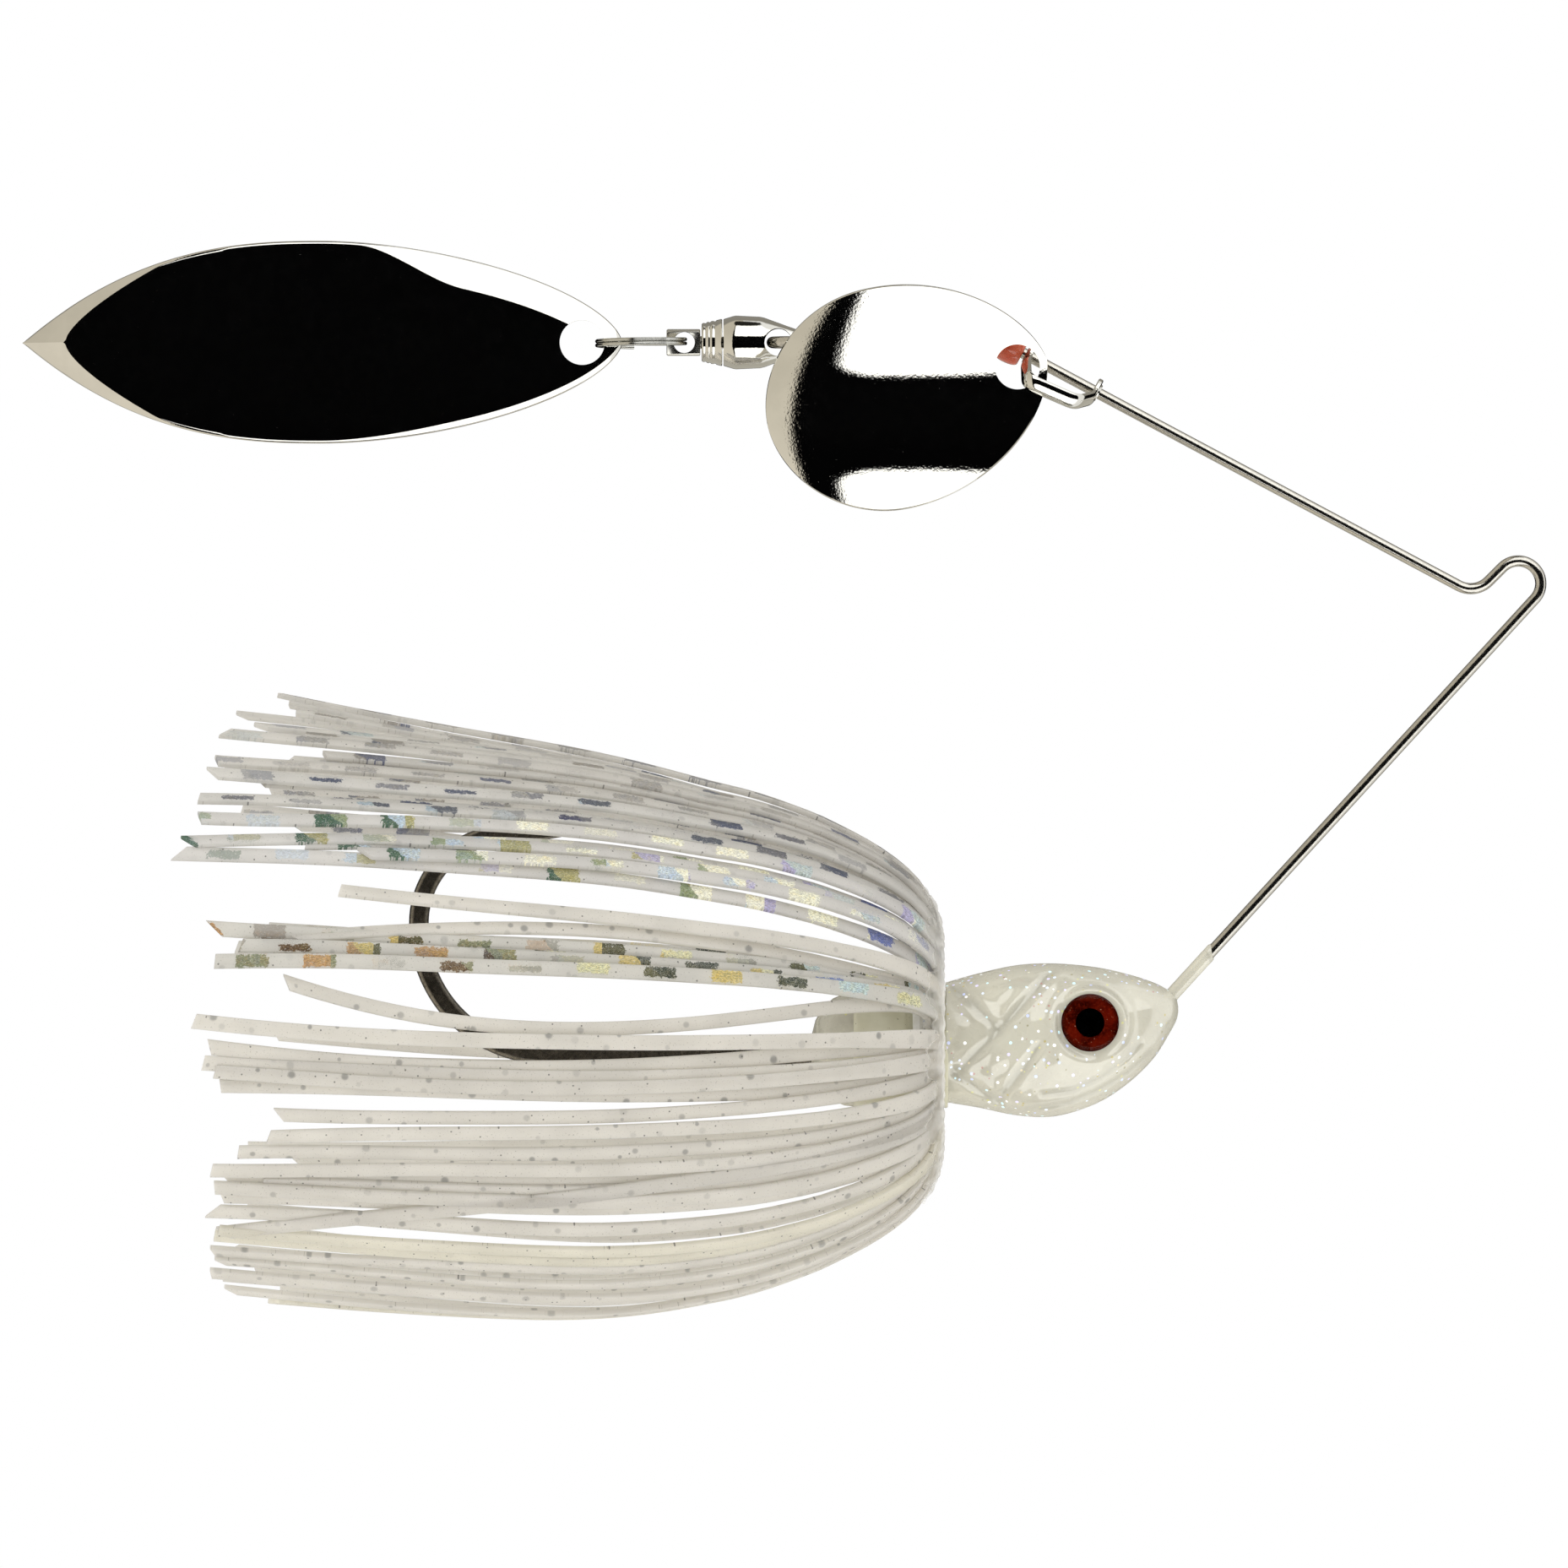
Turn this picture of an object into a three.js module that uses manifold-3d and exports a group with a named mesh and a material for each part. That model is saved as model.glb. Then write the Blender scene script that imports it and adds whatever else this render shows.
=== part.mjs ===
// Double-bladed spinnerbait, in millimetres: +X to the nose, +Z up, -Y to the side that is shown.
// The origin is the middle of the line tie, the bend in the wire that the line is tied to.
import * as THREE from 'three';
import { mergeVertices } from 'three/addons/utils/BufferGeometryUtils.js';
import Module from 'manifold-3d';

const wasm = await Module();
wasm.setup();

// ---- driving dimensions -------------------------------------------------------------------

const GAP = 0.3;                      // air left between a piece and the recess cut for it
const WIRE_R = 0.45;                  // 0.035 inch stainless wire
const TIE_R = 1.78;                   // centreline radius of the line tie
const TIE_END_R = 2;                  // the small bend that turns the tie into the upper arm
const LEG_ANGLE = 47.5;               // lower leg above the horizontal
const ARM_SLOPE = 28.1;               // upper arm above the horizontal
const ARM_CORNER = [-3.39, -0.87];    // where the tie's link and the upper arm would meet
const ARM_END_X = -46.5;              // where the arm turns down to its end loop
const LOOP_X = -57;                   // middle of the loop at the arm's end
const AXIS_Z = 19.03;                 // height of the swivel, split ring and rear blade
const LOOP_R = 1.9;

const HEAD_AXIS_Z = -36.3;            // axis of the keeper, collar and skirt
const EYE_X = -33.9;
const EYE_Z = -34.6;
const EYE_R = 2.25;
const EYE_FACE_Y = 4.35;              // the bottom of the eye's recess
const HOOK_EYE_X = -36.2;
const HOOK_Z = -37.2;
const HOOK_HALF_H = 0.72;             // the forged wire is taller than it is thick
const HOOK_HALF_T = 0.52;
const HOOK_BEND_X = -86.8;
const HOOK_POINT_Z = -19.8;

const COLLAR_X = -46.9;               // middle of the skirt's collar
const COLLAR_SEAT_R = 4;
const TUFTS = 20;
const STRAND_W = 1.1;
const STRAND_T = 0.5;

const BLADE_T = 0.4;
const CLEVIS_START_X = -33.4;         // the clevis ear nearest the line tie, on the arm
const CLEVIS_SPAN = 5.9;              // from ear to ear along the arm
const CLEVIS_TILT = 65;               // turned from straight down towards the shown side
const CLEVIS_DEPTH = 4.7;
const BEAD_R = 1.35;
const BEAD_LENGTH = 2.3;

const RING_X = -69.25;                // middle of the split ring
const RING_R = 3.35;
const RING_W = 0.5;
const RING_PITCH = 0.58;

// ---- colours ------------------------------------------------------------------------------

const finish = (color, roughness, metalness) => (
  new THREE.MeshStandardMaterial({ color, roughness, metalness })
);
const STEEL = finish('#b9b9b6', 0.25, 1);
const NICKEL = finish('#d9d8d3', 0.08, 1);
const BLACK_NICKEL = finish('#24221f', 0.25, 1);
const PEARL = finish('#e9e5d2', 0.3, 0);
const SILICONE = finish('#d8d5cc', 0.45, 0);
const COLLAR_RUBBER = finish('#dedbd2', 0.5, 0);
const RED_BEAD = finish('#c8482f', 0.2, 0);
const IRIS = finish('#4a1418', 0.35, 0.3);
const EYE_RESIN = finish('#1a0d0d', 0.05, 0);

// ---- helpers ------------------------------------------------------------------------------

const v3 = (x, y, z) => new THREE.Vector3(x, y, z);
const radians = THREE.MathUtils.degToRad;
const spinnerbait = new THREE.Group();

function addPiece(name, geometry, material) {
  const mesh = new THREE.Mesh(geometry, material);
  mesh.name = name;
  spinnerbait.add(mesh);
  return mesh;
}

// A closed geometry as a manifold solid, for cutting and joining.
function solid(geometry) {
  const bare = geometry.clone();
  bare.deleteAttribute('normal');
  bare.deleteAttribute('uv');
  const merged = mergeVertices(bare, 1e-5);
  return new wasm.Manifold(new wasm.Mesh({
    numProp: 3,
    vertProperties: new Float32Array(merged.attributes.position.array),
    triVerts: new Uint32Array(merged.index.array),
  }));
}

function geometryOf(manifold) {
  const mesh = manifold.getMesh();
  const geometry = new THREE.BufferGeometry();
  geometry.setAttribute('position', new THREE.BufferAttribute(mesh.vertProperties, 3));
  geometry.setIndex(new THREE.BufferAttribute(mesh.triVerts, 1));
  geometry.computeVertexNormals();
  return geometry;
}

// A curve through given stations, so that straights stay long and bends stay fine.
class Route extends THREE.Curve {
  constructor(stations) {
    super();
    this.stations = stations;
  }

  getPointAt(u) {
    const at = u * (this.stations.length - 1);
    const low = Math.min(Math.floor(at + 1e-9), this.stations.length - 2);
    return this.stations[low].clone().lerp(this.stations[low + 1], at - low);
  }

  getPoint(t) {
    return this.getPointAt(t);
  }

  getTangentAt(u) {
    const last = this.stations.length - 1;
    const near = Math.round(u * last);
    const back = this.stations[near].clone().sub(this.stations[Math.max(near - 1, 0)]);
    const on = this.stations[Math.min(near + 1, last)].clone().sub(this.stations[near]);
    return back.normalize().add(on.normalize()).normalize();
  }
}

// Stations through corners, each corner after the first rounded to a radius.
function rounded(corners, radius, turn = 18) {
  const stations = [corners[0]];
  for (let i = 1; i < corners.length - 1; i++) {
    const back = corners[i - 1].clone().sub(corners[i]).normalize();
    const on = corners[i + 1].clone().sub(corners[i]).normalize();
    const angle = Math.PI - back.angleTo(on);
    const r = Array.isArray(radius) ? radius[i - 1] : radius;
    const middle = back.clone().add(on).normalize();
    const centre = corners[i].clone().addScaledVector(middle, r / Math.cos(angle / 2));
    const start = corners[i].clone().addScaledVector(back, r * Math.tan(angle / 2)).sub(centre);
    const end = corners[i].clone().addScaledVector(on, r * Math.tan(angle / 2)).sub(centre);
    const axis = start.clone().cross(end).normalize();
    const steps = Math.max(2, Math.ceil(THREE.MathUtils.radToDeg(angle) / turn));
    for (let k = 0; k <= steps; k++) {
      stations.push(start.clone().applyAxisAngle(axis, angle * k / steps).add(centre));
    }
  }
  stations.push(corners[corners.length - 1]);
  return stations.filter((p, i) => i === 0 || p.distanceTo(stations[i - 1]) > 1e-3);
}

function ellipseSection(rx, ry, sides) {
  const points = [];
  for (let k = 0; k < sides; k++) {
    const a = (k + 0.5) / sides * Math.PI * 2;
    points.push(new THREE.Vector2(rx * Math.cos(a), ry * Math.sin(a)));
  }
  return new THREE.Shape(points);
}

function sweep(section, stations) {
  return new THREE.ExtrudeGeometry(section, {
    steps: stations.length - 1,
    extrudePath: new Route(stations),
  });
}

// A rod or hole of one radius from one point to another.
function rod(from, to, radius, sides = 16) {
  const along = to.clone().sub(from);
  const geometry = new THREE.CylinderGeometry(radius, radius, along.length(), sides);
  const turn = new THREE.Quaternion().setFromUnitVectors(v3(0, 1, 0), along.normalize());
  geometry.applyQuaternion(turn);
  const middle = from.clone().add(to).multiplyScalar(0.5);
  geometry.translate(middle.x, middle.y, middle.z);
  return geometry;
}

// A turned piece: profile points are [distance along the axis, radius].
function turned(profile, sides, at, axis) {
  const points = profile.map(([along, r]) => new THREE.Vector2(r, along));
  const geometry = new THREE.LatheGeometry(points, sides);
  geometry.applyQuaternion(new THREE.Quaternion().setFromUnitVectors(v3(0, 1, 0), axis));
  geometry.translate(at.x, at.y, at.z);
  return geometry;
}

function boxAt(low, high) {
  const size = high.map((h, i) => h - low[i]);
  const geometry = new THREE.BoxGeometry(...size);
  geometry.translate(...high.map((h, i) => (h + low[i]) / 2));
  return geometry;
}

// Corners of the regular outline round a circle, so that rounding them by r gives the arc.
function arcCorners(centre, r, from, sweepAngle, count) {
  const out = [];
  for (let k = 0; k < count; k++) {
    const a = radians(from + sweepAngle * (2 * k + 1) / (2 * count));
    const reach = r / Math.cos(radians(Math.abs(sweepAngle)) / (2 * count));
    out.push(v3(centre.x + reach * Math.cos(a), 0, centre.z + reach * Math.sin(a)));
  }
  return out;
}

// ---- the wire -----------------------------------------------------------------------------

const armDown = Math.tan(radians(ARM_SLOPE));
const armZ = (x) => ARM_CORNER[1] + (ARM_CORNER[0] - x) * armDown;
const armPoint = (x) => v3(x, 0, armZ(x));
const ARM = v3(-Math.cos(radians(ARM_SLOPE)), 0, Math.sin(radians(ARM_SLOPE)));
const LEG = v3(Math.cos(radians(LEG_ANGLE)), 0, Math.sin(radians(LEG_ANGLE)));
const legFoot = v3(TIE_R * LEG.z, 0, -TIE_R * LEG.x);
const legPoint = (x) => legFoot.clone().addScaledVector(LEG, (x - legFoot.x) / LEG.x);

function wireStations() {
  const tie = arcCorners(v3(0, 0, 0), TIE_R, LEG_ANGLE - 90, 225 - LEG_ANGLE, 2);
  const corners = [
    v3(HOOK_EYE_X, -1.1, HOOK_Z),
    v3(HOOK_EYE_X, 1.45, HOOK_Z),
    v3(HOOK_EYE_X + 2.6, 1.45, HOOK_Z),
    legPoint(-31.2),
    ...tie,
    v3(ARM_CORNER[0], 0, ARM_CORNER[1]),
    armPoint(ARM_END_X),
    v3(LOOP_X + 4.6, 0, AXIS_Z + 0.25),
    v3(LOOP_X + 1.7, -LOOP_R, AXIS_Z),
    v3(LOOP_X - LOOP_R, -LOOP_R, AXIS_Z),
    v3(LOOP_X - LOOP_R, LOOP_R, AXIS_Z),
    v3(LOOP_X + LOOP_R, LOOP_R, AXIS_Z),
    v3(LOOP_X + LOOP_R, 0.75, AXIS_Z),
  ];
  const radii = [0.8, 0.9, 0.9, TIE_R, TIE_R, TIE_END_R, 2.5, 1.2, 1.2, 1.8, 1.8, 0.9];
  return rounded(corners, radii);
}

const wirePath = wireStations();
addPiece('wire_form', sweep(ellipseSection(WIRE_R, WIRE_R, 10), wirePath), STEEL);

// ---- the hook -----------------------------------------------------------------------------

const HOOK_EYE_R = 1.6;
const HOOK_TIP_X = -74.6;
const HOOK_TAPER = 3.2;

function hookStations() {
  const corners = [
    v3(HOOK_EYE_X - 0.7, 0, HOOK_Z - HOOK_EYE_R),
    v3(HOOK_EYE_X + HOOK_EYE_R, 0, HOOK_Z - HOOK_EYE_R),
    v3(HOOK_EYE_X + HOOK_EYE_R, 0, HOOK_Z + HOOK_EYE_R),
    v3(HOOK_EYE_X - HOOK_EYE_R, 0, HOOK_Z + HOOK_EYE_R),
    v3(HOOK_EYE_X - 3.4, 0, HOOK_Z),
    v3(HOOK_BEND_X, 0, HOOK_Z),
    v3(HOOK_BEND_X, 0, HOOK_POINT_Z),
    v3(HOOK_TIP_X - HOOK_TAPER, 0, HOOK_POINT_Z),
  ];
  return rounded(corners, [1.55, 1.55, 1.0, 1.2, 10.2, 7], 15);
}

const hookPath = hookStations();
const hookWire = solid(sweep(ellipseSection(HOOK_HALF_T, HOOK_HALF_H, 8), hookPath));

function hookPoint() {
  const cone = new THREE.ConeGeometry(1, HOOK_TAPER + 0.2, 8);
  cone.rotateZ(-Math.PI / 2);
  cone.scale(1, HOOK_HALF_T, HOOK_HALF_H * 0.96);
  cone.translate(HOOK_TIP_X - HOOK_TAPER / 2 - 0.1, 0, HOOK_POINT_Z);
  return cone;
}

function hookBarb() {
  const barb = new THREE.ConeGeometry(0.34, 2.2, 6);
  barb.rotateZ(Math.PI / 2);
  barb.rotateY(radians(18));
  barb.translate(HOOK_TIP_X - 3.1, 0, HOOK_POINT_Z - 0.62);
  return barb;
}

const hook = hookWire.add(solid(hookPoint())).add(solid(hookBarb()));
addPiece('hook', geometryOf(hook), BLACK_NICKEL);

// ---- the head -----------------------------------------------------------------------------

// [x, top, bottom, half width], from the nose to the back of the skirt keeper.
const HEAD_RINGS = [
  [-26.95, -33.1, -34.3, 0.6],
  [-27.5, -32.35, -35.5, 1.7],
  [-28.8, -31.6, -37.5, 3],
  [-30.8, -30.9, -39.4, 4.1],
  [-33.3, -30.3, -41, 4.9],
  [-36.5, -30, -42, 5.2],
  [-39.5, -30.15, -42, 5.15],
  [-42.5, -30.75, -41.4, 4.9],
  [-45.2, -31.5, -40.9, 4.6],
  [-45.4, HEAD_AXIS_Z + COLLAR_SEAT_R, HEAD_AXIS_Z - COLLAR_SEAT_R, COLLAR_SEAT_R],
  [-48.2, HEAD_AXIS_Z + COLLAR_SEAT_R, HEAD_AXIS_Z - COLLAR_SEAT_R, COLLAR_SEAT_R],
  [-48.5, -32.2, -40.7, 4.3],
  [-52.2, -31.8, -41.9, 4.6],
  [-52.5, -32.3, -41.5, 4.3],
  [-54.4, -33, -40.7, 3.6],
  [-55.8, -34.6, -39.1, 2.1],
];

// A cylinder whose rings are moved to the stations above.
function headShell() {
  const last = HEAD_RINGS.length - 1;
  const geometry = new THREE.CylinderGeometry(1, 1, last, 24, last);
  const position = geometry.attributes.position;
  for (let i = 0; i < position.count; i++) {
    const [x, top, bottom, half] = HEAD_RINGS[Math.round(last / 2 - position.getY(i))];
    const z = (top + bottom) / 2 + position.getX(i) * (top - bottom) / 2;
    position.setXYZ(i, x, position.getZ(i) * half, z);
  }
  return geometry;
}

function headSolid() {
  const foot = wirePath.slice(0, wirePath.findIndex((p) => p.x > 0) + 1);
  foot[0] = foot[0].clone().add(v3(0, -GAP, 0));
  const wireHole = solid(sweep(ellipseSection(WIRE_R + GAP, WIRE_R + GAP, 8), foot));
  const shank = rod(v3(HOOK_EYE_X, 0, HOOK_Z), v3(-60, 0, HOOK_Z), HOOK_HALF_H + GAP, 10);
  const eyeRoom = rod(v3(HOOK_EYE_X, -HOOK_HALF_T - GAP, HOOK_Z),
    v3(HOOK_EYE_X, HOOK_HALF_T + GAP, HOOK_Z), HOOK_EYE_R + HOOK_HALF_H + GAP, 14);
  const throat = boxAt([HOOK_EYE_X - 4, -HOOK_HALF_T - GAP, HOOK_Z - HOOK_HALF_H - GAP],
    [HOOK_EYE_X, HOOK_HALF_T + GAP, HOOK_Z + HOOK_EYE_R + HOOK_HALF_H + GAP]);
  let head = solid(headShell());
  for (const room of [shank, eyeRoom, throat]) {
    head = head.subtract(solid(room));
  }
  head = head.subtract(wireHole);
  for (const side of [-1, 1]) {
    const recess = rod(v3(EYE_X, side * EYE_FACE_Y, EYE_Z), v3(EYE_X, side * 8, EYE_Z), 2.6, 20);
    head = head.subtract(solid(recess));
  }
  return geometryOf(head);
}

addPiece('head', headSolid(), PEARL);

function addEye(side, name) {
  const out = v3(0, side, 0);
  const foil = [[0, 0], [0, EYE_R], [0.3, EYE_R], [0.3, 0]];
  const dome = [[0, 0], [0, EYE_R], [0.35, EYE_R * 0.97], [0.7, EYE_R * 0.7], [0.9, 0]];
  const at = (y) => v3(EYE_X, side * y, EYE_Z);
  addPiece(`eye_foil_${name}`, turned(foil, 20, at(EYE_FACE_Y + 0.1), out), IRIS);
  addPiece(`eye_dome_${name}`, turned(dome, 20, at(EYE_FACE_Y + 0.45), out), EYE_RESIN);
}

addEye(-1, 'near');
addEye(1, 'far');

// ---- the skirt ----------------------------------------------------------------------------

const collarProfile = [[-0.9, 4.2], [-0.9, 4.75], [-0.4, 4.95], [0.4, 4.95], [0.9, 4.75],
  [0.9, 4.2], [-0.9, 4.2]];
const collarAt = v3(COLLAR_X, 0, HEAD_AXIS_Z);
addPiece('skirt_collar', turned(collarProfile, 24, collarAt, v3(-1, 0, 0)), COLLAR_RUBBER);

// [distance behind the collar, radius]: out from the collar, then folded back.
const STRAND_LINE = [[0.3, 5.3], [-0.6, 8], [0.4, 11], [4, 14.6], [10, 18], [18, 20.6],
  [34, 22], [55, 21.4]];

// Three strands that share one root, spread like a hand of cards. The upper ones flare more.
function tuft(angle, stretch) {
  const out = v3(0, -Math.cos(angle), Math.sin(angle));
  const across = v3(0, Math.sin(angle), Math.cos(angle));
  const flare = 2 + 3.5 * Math.sin(angle);
  const strands = [-1, 0, 1].map((side) => {
    const stations = STRAND_LINE.map(([back, r]) => {
      const spread = side * Math.min(0.2 + 0.145 * (r - 5.3), 2.2);
      const behind = back * (back > 20 ? stretch - 0.02 * side * side : 1);
      const lift = r + 0.13 * side + flare * Math.max(0, back - 18) / 37;
      return collarAt.clone().add(v3(-behind, 0, 0)).addScaledVector(out, lift)
        .addScaledVector(across, spread);
    });
    return solid(strandSweep(stations, across));
  });
  return geometryOf(strands[0].add(strands[1]).add(strands[2]));
}

// A flat strip along the stations whose width stays along `across`.
function strandSweep(stations, across) {
  const geometry = new THREE.BoxGeometry(STRAND_W, STRAND_T, 1, 1, 1, stations.length - 1);
  const position = geometry.attributes.position;
  const route = new Route(stations);
  const last = stations.length - 1;
  for (let i = 0; i < position.count; i++) {
    const k = Math.round((position.getZ(i) + 0.5) * last);
    const flat = across.clone().cross(route.getTangentAt(k / last)).normalize();
    const p = stations[k].clone().addScaledVector(across, position.getX(i))
      .addScaledVector(flat, -position.getY(i));
    position.setXYZ(i, p.x, p.y, p.z);
  }
  return geometry;
}

for (let k = 0; k < TUFTS; k++) {
  const stretch = 1 + 0.035 * Math.sin(k * 2.4);
  const name = `skirt_tuft_${String(k + 1).padStart(2, '0')}`;
  addPiece(name, tuft((k + 0.5) / TUFTS * Math.PI * 2, stretch), SILICONE);
}

// ---- blades -------------------------------------------------------------------------------

// A domed plate: a box whose cross rows follow [along, half width], bulging towards -Y.
function domedBlade(rows, across, dome) {
  const geometry = new THREE.BoxGeometry(1, BLADE_T, 1, rows.length - 1, 1, across);
  const position = geometry.attributes.position;
  const length = rows[rows.length - 1][0];
  for (let i = 0; i < position.count; i++) {
    const [along, half] = rows[Math.round((position.getX(i) + 0.5) * (rows.length - 1))];
    const v = position.getZ(i) * 2;
    const t = along / length;
    const rise = dome * Math.sin(Math.PI * t) ** (t < 0.5 ? 2 : 1);
    position.setXYZ(i, along, position.getY(i) - rise * (1 - v * v * 0.85), v * half);
  }
  return geometry;
}

// Rows from the hole end to the far end; `shape` gives the half width at 0..1 along.
function bladeRows(length, count, shape) {
  const rows = [];
  for (let k = 0; k <= count; k++) {
    const t = (1 - Math.cos(Math.PI * k / count)) / 2;
    rows.push([t * length, shape(t)]);
  }
  return rows;
}

const WILLOW = { length: 47.4, half: 8, endX: -70.75, holeX: -73.9, holeR: 1.8 };
const COLORADO = { length: 22.6, half: 8.85, holeR: 1.8, y: -3.2 };

function willowBlade() {
  const shape = (t) => {
    const u = Math.abs(2 * t - 1);
    return WILLOW.half * Math.max(0.02, t < 0.5 ? (1 - u ** 1.78) ** 0.61 : 1 - u ** 2.5);
  };
  const plate = domedBlade(bladeRows(WILLOW.length, 22, shape), 6, 1.2);
  plate.rotateY(Math.PI);
  plate.scale(1, 1, -1);
  plate.index.array.reverse();
  plate.translate(WILLOW.endX, 0, AXIS_Z);
  const hole = rod(v3(WILLOW.holeX, -3, AXIS_Z), v3(WILLOW.holeX, 3, AXIS_Z), WILLOW.holeR, 20);
  return geometryOf(solid(plate).subtract(solid(hole)));
}

addPiece('willow_blade', willowBlade(), NICKEL);

const CLEVIS_START = armPoint(CLEVIS_START_X);
const DOWN = v3(-ARM.z, 0, ARM.x);                         // square to the arm, downwards
const DEPTH = DOWN.clone().multiplyScalar(Math.cos(radians(CLEVIS_TILT)))
  .addScaledVector(v3(0, -1, 0), Math.sin(radians(CLEVIS_TILT)));
const clevisPoint = (along, depth) => (
  CLEVIS_START.clone().addScaledVector(ARM, along).addScaledVector(DEPTH, depth)
);

const COLORADO_HOLE = v3(-39.6, COLORADO.y, 17);
const COLORADO_TURN = 193.6;             // direction of the blade's length from its hole

function coloradoBlade() {
  const widest = 0.57;
  const shape = (t) => {
    const u = t < widest ? 1 - t / widest : (t - widest) / (1 - widest);
    return COLORADO.half * Math.max(0.04, (1 - u * u) ** (t < widest ? 0.62 : 0.53));
  };
  const plate = domedBlade(bladeRows(COLORADO.length, 16, shape), 8, 2.2);
  const hole = rod(v3(2.4, -3, 0), v3(2.4, 3, 0), COLORADO.holeR, 20);
  const blade = geometryOf(solid(plate).subtract(solid(hole)));
  blade.translate(-2.4, 0, 0);
  blade.rotateY(-radians(COLORADO_TURN));
  blade.translate(COLORADO_HOLE.x, COLORADO_HOLE.y, COLORADO_HOLE.z);
  return blade;
}

addPiece('colorado_blade', coloradoBlade(), NICKEL);

// ---- clevis and beads ---------------------------------------------------------------------

function clevis() {
  const corners = [
    clevisPoint(CLEVIS_SPAN, -0.2),
    clevisPoint(CLEVIS_SPAN, 1.6),
    clevisPoint(CLEVIS_SPAN - 0.7, CLEVIS_DEPTH),
    clevisPoint(0.9, CLEVIS_DEPTH - 0.9),
    clevisPoint(0, 1.6),
    clevisPoint(0, -0.2),
  ];
  const strap = solid(clevisStrap(rounded(corners, [1.2, 0.9, 1.3, 1.2], 20)));
  let whole = strap;
  for (const along of [0, CLEVIS_SPAN]) {
    const ear = rod(clevisPoint(along - 0.2, 0), clevisPoint(along + 0.2, 0), 1.1, 16);
    whole = whole.add(solid(ear));
  }
  const bore = rod(clevisPoint(-2, 0), clevisPoint(CLEVIS_SPAN + 2, 0), WIRE_R + 0.2, 12);
  return geometryOf(whole.subtract(solid(bore)));
}

function clevisStrap(stations) {
  const width = ARM.clone().cross(DEPTH).normalize();
  const geometry = new THREE.BoxGeometry(1.35, 0.4, 1, 1, 1, stations.length - 1);
  const position = geometry.attributes.position;
  const route = new Route(stations);
  const last = stations.length - 1;
  for (let i = 0; i < position.count; i++) {
    const k = Math.round((position.getZ(i) + 0.5) * last);
    const flat = width.clone().cross(route.getTangentAt(k / last)).normalize();
    const p = stations[k].clone().addScaledVector(width, position.getX(i))
      .addScaledVector(flat, -position.getY(i));
    position.setXYZ(i, p.x, p.y, p.z);
  }
  return geometry;
}

addPiece('clevis', clevis(), NICKEL);

const beadProfile = [[-BEAD_LENGTH / 2, 0.7], [-BEAD_LENGTH / 2, 0.95], [-0.6, 1.28],
  [0, BEAD_R], [0.6, 1.28], [BEAD_LENGTH / 2, 0.95], [BEAD_LENGTH / 2, 0.7],
  [-BEAD_LENGTH / 2, 0.7]];

for (const n of [1, 2]) {
  const along = CLEVIS_SPAN + 0.45 + (n - 0.5) * (BEAD_LENGTH + 0.25);
  addPiece(`bead_${n}`, turned(beadProfile, 14, clevisPoint(along, 0), ARM), RED_BEAD);
}

// ---- ball-bearing swivel ------------------------------------------------------------------

const BALLS = 6;
const BALL_R = 0.33;
const RACE_R = 0.9;
const RACE_X = -63.68;
const SWIVEL_EYE_X = -58.42;
const axisAt = (x) => v3(x, 0, AXIS_Z);
const BACK = v3(-1, 0, 0);

// Profiles run forwards from the cap, so "along" is measured from x = 0 to -X.
function swivelCap() {
  const profile = [[62.85, 1.32], [62.85, 1.88], [63.25, 1.8], [63.35, 1.66], [63.6, 1.66],
    [63.7, 1.72], [63.95, 1.68], [64.05, 1.52], [64.25, 1.5], [64.45, 1.45], [64.45, 0.7],
    [64.1, 0.7], [64.1, 1.32], [62.85, 1.32]];
  return turned(profile, 20, axisAt(0), BACK);
}

// A bullet with a round eye across its nose for the wire, and a blind bore for the shaft.
function swivelBody() {
  const profile = [[56.2, 0], [56.28, 0.55], [56.75, 0.95], [57.75, 1.3], [59.45, 1.93],
    [59.75, 2.02], [61.8, 2.12], [62.75, 1.84], [62.75, 0]];
  const bullet = solid(turned(profile, 24, axisAt(0), BACK));
  const eye = rod(v3(SWIVEL_EYE_X, -3, AXIS_Z), v3(SWIVEL_EYE_X, 3, AXIS_Z), 1.1, 20);
  const bore = rod(axisAt(-63), axisAt(-59.95), 0.72, 14);
  return geometryOf(bullet.subtract(solid(eye)).subtract(solid(bore)));
}

// The shaft's flange runs on the balls; its rear end is flattened and drilled for the split ring.
function swivelShaft() {
  const profile = [[60.1, 0], [60.1, 0.36], [60.3, 0.46], [62.95, 0.46], [62.95, 1.1],
    [63.25, 1.1], [63.25, 0.5], [64.58, 0.5], [64.58, 0.98], [64.66, 1.05], [67.16, 1.05],
    [67.24, 0.97], [67.24, 0]];
  const shaft = solid(turned(profile, 20, axisAt(0), BACK));
  const nearFlat = boxAt([-68, -2, AXIS_Z - 2], [-64.55, -0.6, AXIS_Z + 2]);
  const farFlat = boxAt([-68, 0.6, AXIS_Z - 2], [-64.55, 2, AXIS_Z + 2]);
  const hole = rod(v3(-65.85, -2, AXIS_Z), v3(-65.85, 2, AXIS_Z), 0.76, 16);
  return geometryOf(shaft.subtract(solid(nearFlat)).subtract(solid(farFlat)).subtract(solid(hole)));
}

addPiece('swivel_body', swivelBody(), NICKEL);
addPiece('swivel_cap', swivelCap(), NICKEL);
addPiece('swivel_shaft', swivelShaft(), NICKEL);

for (let k = 0; k < BALLS; k++) {
  const a = (k + 0.25) / BALLS * Math.PI * 2;
  const ball = new THREE.IcosahedronGeometry(BALL_R, 1);
  ball.translate(RACE_X, RACE_R * Math.cos(a), AXIS_Z + RACE_R * Math.sin(a));
  addPiece(`bearing_ball_${k + 1}`, ball, STEEL);
}

// ---- split ring: two turns of flattened wire ----------------------------------------------

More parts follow.
